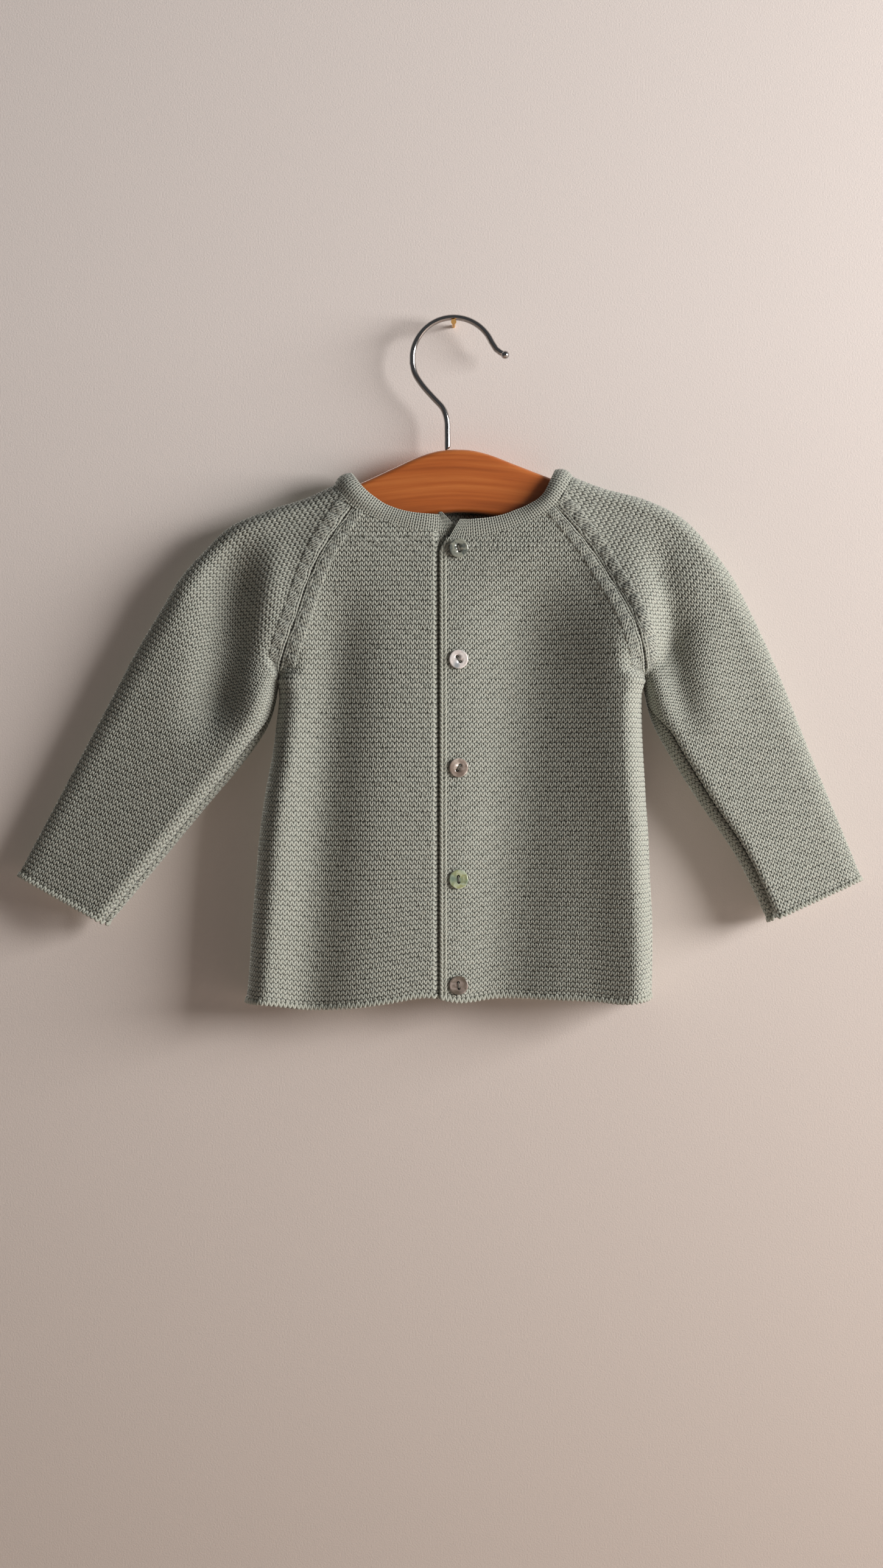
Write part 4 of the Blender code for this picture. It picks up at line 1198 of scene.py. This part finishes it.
def buttonMesh(number, height, turn, tilt):
    bm = bmesh.new()
    verts = [bm.verts.new(Vector((r, 0, h)) * mm) for r, h in button["section"]]
    edges = [bm.edges.new(pair) for pair in zip(verts, verts[1:])]
    bmesh.ops.spin(
        bm,
        geom=verts + edges,
        cent=(0, 0, 0),
        axis=(0, 0, 1),
        angle=2 * math.pi,
        steps=button["sides"],
        use_merge=True,
    )
    turned = Matrix.Rotation(math.radians(turn), 4, "Z")
    holes = {-1: [], 1: []}
    for level in (0, button["section"][-1][1]):
        ring = [e for e in bm.edges if e.is_boundary and abs(e.verts[0].co.z - level * mm) < 0.01 * mm]
        for end, edges in holes.items():
            place = turned @ Matrix.Translation(Vector((0, end * button["holesApart"] / 2, level)) * mm)
            made = bmesh.ops.create_circle(
                bm, segments=button["holeSides"], radius=button["hole"] * mm, matrix=place
            )
            circle = list({e for v in made["verts"] for e in v.link_edges})
            ring += circle
            edges += circle
        bmesh.ops.triangle_fill(bm, edges=ring, use_beauty=True)
    for edges in holes.values():
        bmesh.ops.bridge_loops(bm, edges=edges)
    bmesh.ops.recalc_face_normals(bm, faces=bm.faces[:])
    faceY = -(float(bodyDepth("front", button["x"], height)) + knit["wall"] / 2 + button["lift"])
    lean = Matrix.Rotation(math.radians(90 + tilt), 4, "X")
    placed = Matrix.Translation(Vector((button["x"], faceY, height)) * mm) @ lean
    bmesh.ops.transform(bm, matrix=placed, verts=bm.verts[:])
    return meshFrom(f"shell_button_{number}", bm, shellPaint(number)), placed @ turned


def threadMesh(number, placed):
    # two passes of thread from hole to hole over the button's face, and down through to the cloth
    half, top = button["holesApart"] / 2, button["section"][-1][1]
    paths = []
    for offset in (-button["threadApart"] / 2, button["threadApart"] / 2):
        along = np.linspace(-1, 1, 15)
        rise = top + button["threadLift"] - 0.9 * along**8 - 0.1 * along**2
        arch = [(offset * (1 - 0.3 * abs(a)), a * half, h) for a, h in zip(along, rise)]
        ends = [(0.7 * offset, end * half, -button["lift"] - button["threadDown"]) for end in (-1, 1)]
        points = [placed @ (Vector(p) * mm) / mm for p in (ends[0], *arch, ends[1])]
        paths.append(np.array([tuple(p) for p in points]))
    return strandMesh(f"thread_{number}", paths, button["thread"], sewingThread)


for row in zip(*button["placed"].values()):
    number = int(row[0])
    mesh, placed = buttonMesh(number, *[float(v) for v in row[1:]])
    finishPiece(f"shell_button_{number}", mesh, "shell", f"button_{number}")
    for f in mesh.polygons:
        f.use_smooth = abs(f.normal.y) < 0.999
    finishPiece(f"thread_{number}", threadMesh(number, placed), "knit")
print("buttons and thread")

board = {
    "outline": table(
        "reach top bottom",
        (0, -78.2, -116.2), (10, -79, -116.8), (20, -81.6, -118.4), (36, -88.2, -122.6),
        (54, -95.8, -128.2), (74, -103.6, -134.2), (94, -110.4, -138.6), (112, -116.2, -142.4),
        (126, -122.4, -144.8),
    ),
    "thick": 12.0,
    "rounding": 3.4,
    "endRadius": 8.0,
    "tilt": 1.7,  # degrees, its viewer's left end hanging lower
    "step": 2.0,
    "light": srgb(206, 122, 60),
    "middle": srgb(184, 98, 42),
    "dark": srgb(146, 72, 28),
    "rimHighlight": srgb(226, 168, 128),  # painted highlight: a paler colour off the front face, so on the rounded edges that catch the light
    "rimHighlightY": (-0.0052, -0.0028),  # metres from the board's middle, over its rounded edge
    "rimHighlightShare": 0.35,
    "drift": (8.0, 55.0, 2.0),  # how fine the grain is along and across the board, and its detail
    "bands": (11.0, 420.0, 4.0),
    "pores": (150.0, 3000.0, 2.0),
}


def woodPaint():
    # long figure that follows the board's arch, with fine pores, and a painted highlight on its rounded edges
    paint = Paint("beechStained")
    x, y, z = paint.split(paint.place())
    arch = z + paint.maths("ABSOLUTE", x) ** 1.6 * 0.55

    def grain(alongScale, acrossScale, detail):
        stretched = paint.node(
            "ShaderNodeCombineXYZ", {}, {0: x * alongScale, 1: y * acrossScale * 0.3, 2: arch * acrossScale}
        )
        return paint.noise(stretched, 1.0, detail)

    drift, bands, pores = [grain(*board[name]) for name in ("drift", "bands", "pores")]
    figure = bands * 0.6 + drift * 0.4
    streaks = paint.node(
        "ShaderNodeValToRGB",
        {"stops": ((0.3, board["dark"]), (0.5, board["middle"]), (0.7, board["light"]))},
        {0: figure},
    )
    # painted highlight: the paler colour comes in over the front rounded edge and stays on everything behind
    # it
    first, last = board["rimHighlightY"]
    rimHighlight = paint.node("ShaderNodeMapRange", {}, {0: y, 1: first, 2: last, 3: 0.0, 4: board["rimHighlightShare"]})
    colour = paint.blendColours(pores * 0.3, streaks, board["dark"])
    colour = paint.blendColours(rimHighlight, colour, board["rimHighlight"])
    return paint.shaded(
        {
            "Base Color": colour,
            "Roughness": pores * 0.14 + 0.34,
            "Coat Weight": 0.3,
            "Coat Roughness": 0.2,
            "Normal": paint.bump(pores + bands * 0.4, 0.03 * mm),
        }
    )


def boardMesh():
    outline = board["outline"]
    last = outline["reach"][-1]
    reach = np.append(np.arange(0, last, board["step"]), last)
    top, bottom = smoothAt(outline, "top", reach), smoothAt(outline, "bottom", reach)
    middle, half = (top[-1] + bottom[-1]) / 2, (top[-1] - bottom[-1]) / 2
    turn = np.linspace(0, math.pi, 17)[1:-1]
    rightHalf = np.concatenate(
        [
            np.column_stack([reach, top]),
            np.column_stack([last + board["endRadius"] * np.sin(turn), middle + half * np.cos(turn)]),
            np.column_stack([reach, bottom])[::-1],
        ]
    )
    leftHalf = rightHalf[::-1][1:-1] * (-1, 1)
    bm = bmesh.new()
    rim = np.concatenate([rightHalf, leftHalf])
    face = bm.faces.new([bm.verts.new(Vector((x, -board["thick"] / 2, z)) * mm) for x, z in rim])
    drawn = bmesh.ops.extrude_face_region(bm, geom=[face])
    bmesh.ops.translate(bm, vec=Vector((0, board["thick"], 0)) * mm, verts=vertsOf(drawn))
    bmesh.ops.recalc_face_normals(bm, faces=bm.faces[:])
    edges = [e for e in bm.edges if abs(e.verts[0].co.y - e.verts[1].co.y) < 0.01 * mm]
    bmesh.ops.bevel(
        bm, geom=edges, offset=board["rounding"] * mm, affect="EDGES", segments=6, profile=0.5, material=-1
    )
    pivot = Vector((0, 0, outline["top"][0])) * mm
    tilted = Matrix.Rotation(math.radians(-board["tilt"]), 3, "Y")
    bmesh.ops.rotate(bm, cent=pivot, matrix=tilted, verts=bm.verts[:])
    return meshFrom("wood_board", bm, woodPaint())


finishPiece("wood_board", boardMesh(), "wood", "hanger_board")
print("board")

hook = {
    "wire": 1.8,
    "radius": 25.0,  # to the wire's middle
    "ball": 2.5,  # radius of the ball at the wire's end
    "neck": table(
        "height x",
        (-79.2, -3.7), (-68, -3.8), (-59.6, -4.2), (-53, -6.6), (-46.6, -12.4), (-39.6, -18.6),
        (-32, -23.4), (-26, -24.9),
    ),
    "arc": (175.0, 24.0),  # from and to, in degrees
    "flick": ((25.6, -17.4), (28.2, -19.4), (31.0, -20.8)),  # the bent-out end
    "clear": 0.36,  # from the board to the wire's end
}


def chromePaint():
    paint = Paint("chromedWire")
    scuffs = paint.noise(paint.place(), 700.0, 3.0)
    return paint.shaded(
        {
            "Base Color": (0.44, 0.42, 0.41, 1),
            "Metallic": 1.0,
            "Roughness": 0.1 + scuffs * 0.07,
            "Normal": paint.bump(scuffs, 0.01 * mm),
        }
    )


def hookMesh():
    heights = np.linspace(*hook["neck"]["height"][[0, -1]], 40)
    neck = np.column_stack([smoothAt(hook["neck"], "x", heights), heights])
    neck[0, 1] = board["outline"]["top"][0] + hook["clear"]
    angles = np.radians(np.linspace(*hook["arc"], 60))
    centreZ = -(hook["radius"] - hook["wire"])
    arc = np.column_stack([hook["radius"] * np.cos(angles), centreZ + hook["radius"] * np.sin(angles)])
    path = np.concatenate([neck, arc, hook["flick"]])
    path = np.column_stack([path[:, 0], 0 * path[:, 0], path[:, 1]])
    mesh = strandMesh("chrome_hook", [path], hook["wire"], chromePaint(), 6)
    bm = bmesh.new()
    bm.from_mesh(mesh)
    end = Matrix.Translation(Vector(path[-1]) * mm)
    bmesh.ops.create_icosphere(bm, subdivisions=4, radius=hook["ball"] * mm, matrix=end)
    bm.to_mesh(mesh)
    bm.free()
    return mesh


finishPiece("chrome_hook", hookMesh(), "chrome", "hanger_hook")
print("hook")

view = {"aimX": -7.35, "aimZ": -280.0, "distance": 2000.0, "seenHeight": 947.0, "sensor": 36.0}
camera = linked("camera", bpy.data.cameras.new("camera"))
camera.location = Vector((view["aimX"], -view["distance"], view["aimZ"])) * mm
camera.rotation_euler = (math.pi / 2, 0, 0)
camera.data.sensor_width = view["sensor"]
camera.data.lens = view["sensor"] * view["distance"] / view["seenHeight"]
bpy.context.scene.camera = camera
bpy.context.scene.view_settings.view_transform = "Standard"

room = {
    "wallY": 18.0,
    "wallZ": -300.0,
    "wallColour": srgb(226, 216, 210),
    # painted shade: the colour the wall darkens to further down
    "wallLowShade": srgb(200, 186, 176),
    "floorZ": -900.0,
    "floorColour": srgb(184, 171, 161),
    "size": 12000.0,
    "sky": srgb(206, 210, 214),
    "skyStrength": 0.14,
    "nailZ": -1.2,
    "nail": ((20.5, 1.0, 8.0), (0.9, 1.6, -2.7)),  # length, radius and middle of its shaft and its head
    "lamps": {  # place, aim, size, power and colour
        "window": ((2.08, -1.08, 0.16), (0, 0, -0.2), (1.5, 0.9), 82.0, (1.0, 0.99, 0.984)),
        "behind": ((-0.9, 1.9, 0.7), (0, 0, -0.25), (1.2, 1.2), 36.0, (1.0, 0.98, 0.95)),
    },
}


def lamp(name, place, aim, size, power, colour):
    data = bpy.data.lights.new(name, "AREA")
    data.shape = "RECTANGLE"
    data.size, data.size_y = size
    data.energy = power
    data.color = colour
    light = linked(name, data)
    light.visible_camera = False
    light.location = place
    light.rotation_euler = (Vector(aim) - Vector(place)).to_track_quat("-Z", "Y").to_euler()


def staged(name, bm, material):
    made = linked(name, meshFrom(name, bm, material))
    return made


def plane(name, matrix, material):
    bm = bmesh.new()
    bmesh.ops.create_grid(bm, x_segments=1, y_segments=1, size=room["size"] * mm / 2, matrix=matrix)
    return staged(name, bm, material)


def plasterPaint():
    # a pale painted wall that only shows from the front, with painted shade making it darker towards the
    # bottom
    paint = Paint("plaster")
    place = paint.place()
    grain = paint.noise(place, 1000.0, 2.0)
    # painted shade: the wall's colour darkens downwards over 0.75 m from the height of the hook
    low = paint.node("ShaderNodeMapRange", {}, {0: paint.split(place)[2], 1: 0.0, 2: -0.75})
    surface = paint.node(
        "ShaderNodeBsdfPrincipled",
        {},
        {
            "Base Color": paint.blendColours(low, room["wallColour"], room["wallLowShade"]),
            "Roughness": 0.9,
            "Specular IOR Level": 0.2,
            "Normal": paint.bump(grain, 0.13 * mm),
        },
    )
    clear = paint.node("ShaderNodeBsdfTransparent", {}, {})
    behind = paint.node("ShaderNodeNewGeometry", {}, {}, "Backfacing")
    shown = paint.node("ShaderNodeMixShader", {}, {0: behind, 1: surface, 2: clear})
    paint.node("ShaderNodeOutputMaterial", {}, {"Surface": shown})
    return paint.material


def floorPaint():
    return Paint("paleFloor").shaded({"Base Color": room["floorColour"], "Roughness": 0.8})


def brassPaint():
    return Paint("brass").shaded({"Base Color": srgb(214, 164, 96), "Metallic": 0.6, "Roughness": 0.55})


def upright(y, z):
    return Matrix.Translation(Vector((0, y, z)) * mm) @ Matrix.Rotation(math.pi / 2, 4, "X")


def hangNail():
    # a brass nail in the wall, under the top of the hook
    bm = bmesh.new()
    for depth, radius, y in room["nail"]:
        bmesh.ops.create_cone(
            bm,
            cap_ends=True,
            segments=24,
            radius1=radius * mm,
            radius2=radius * mm,
            depth=depth * mm,
            matrix=upright(y, room["nailZ"]),
        )
    staged("nail", bm, brassPaint())


hangNail()
wall = plane("wall", upright(room["wallY"], room["wallZ"]), plasterPaint())
wall.visible_shadow = False
plane("floor", Matrix.Translation(Vector((0, 0, room["floorZ"])) * mm), floorPaint())
for lampName, settings in room["lamps"].items():
    lamp(lampName, *settings)
world = bpy.data.worlds.new("room")
bpy.context.scene.world = world
world.use_nodes = True
background = world.node_tree.nodes["Background"].inputs
background["Color"].default_value = room["sky"]
background["Strength"].default_value = room["skyStrength"]
print("camera, light, wall and floor")
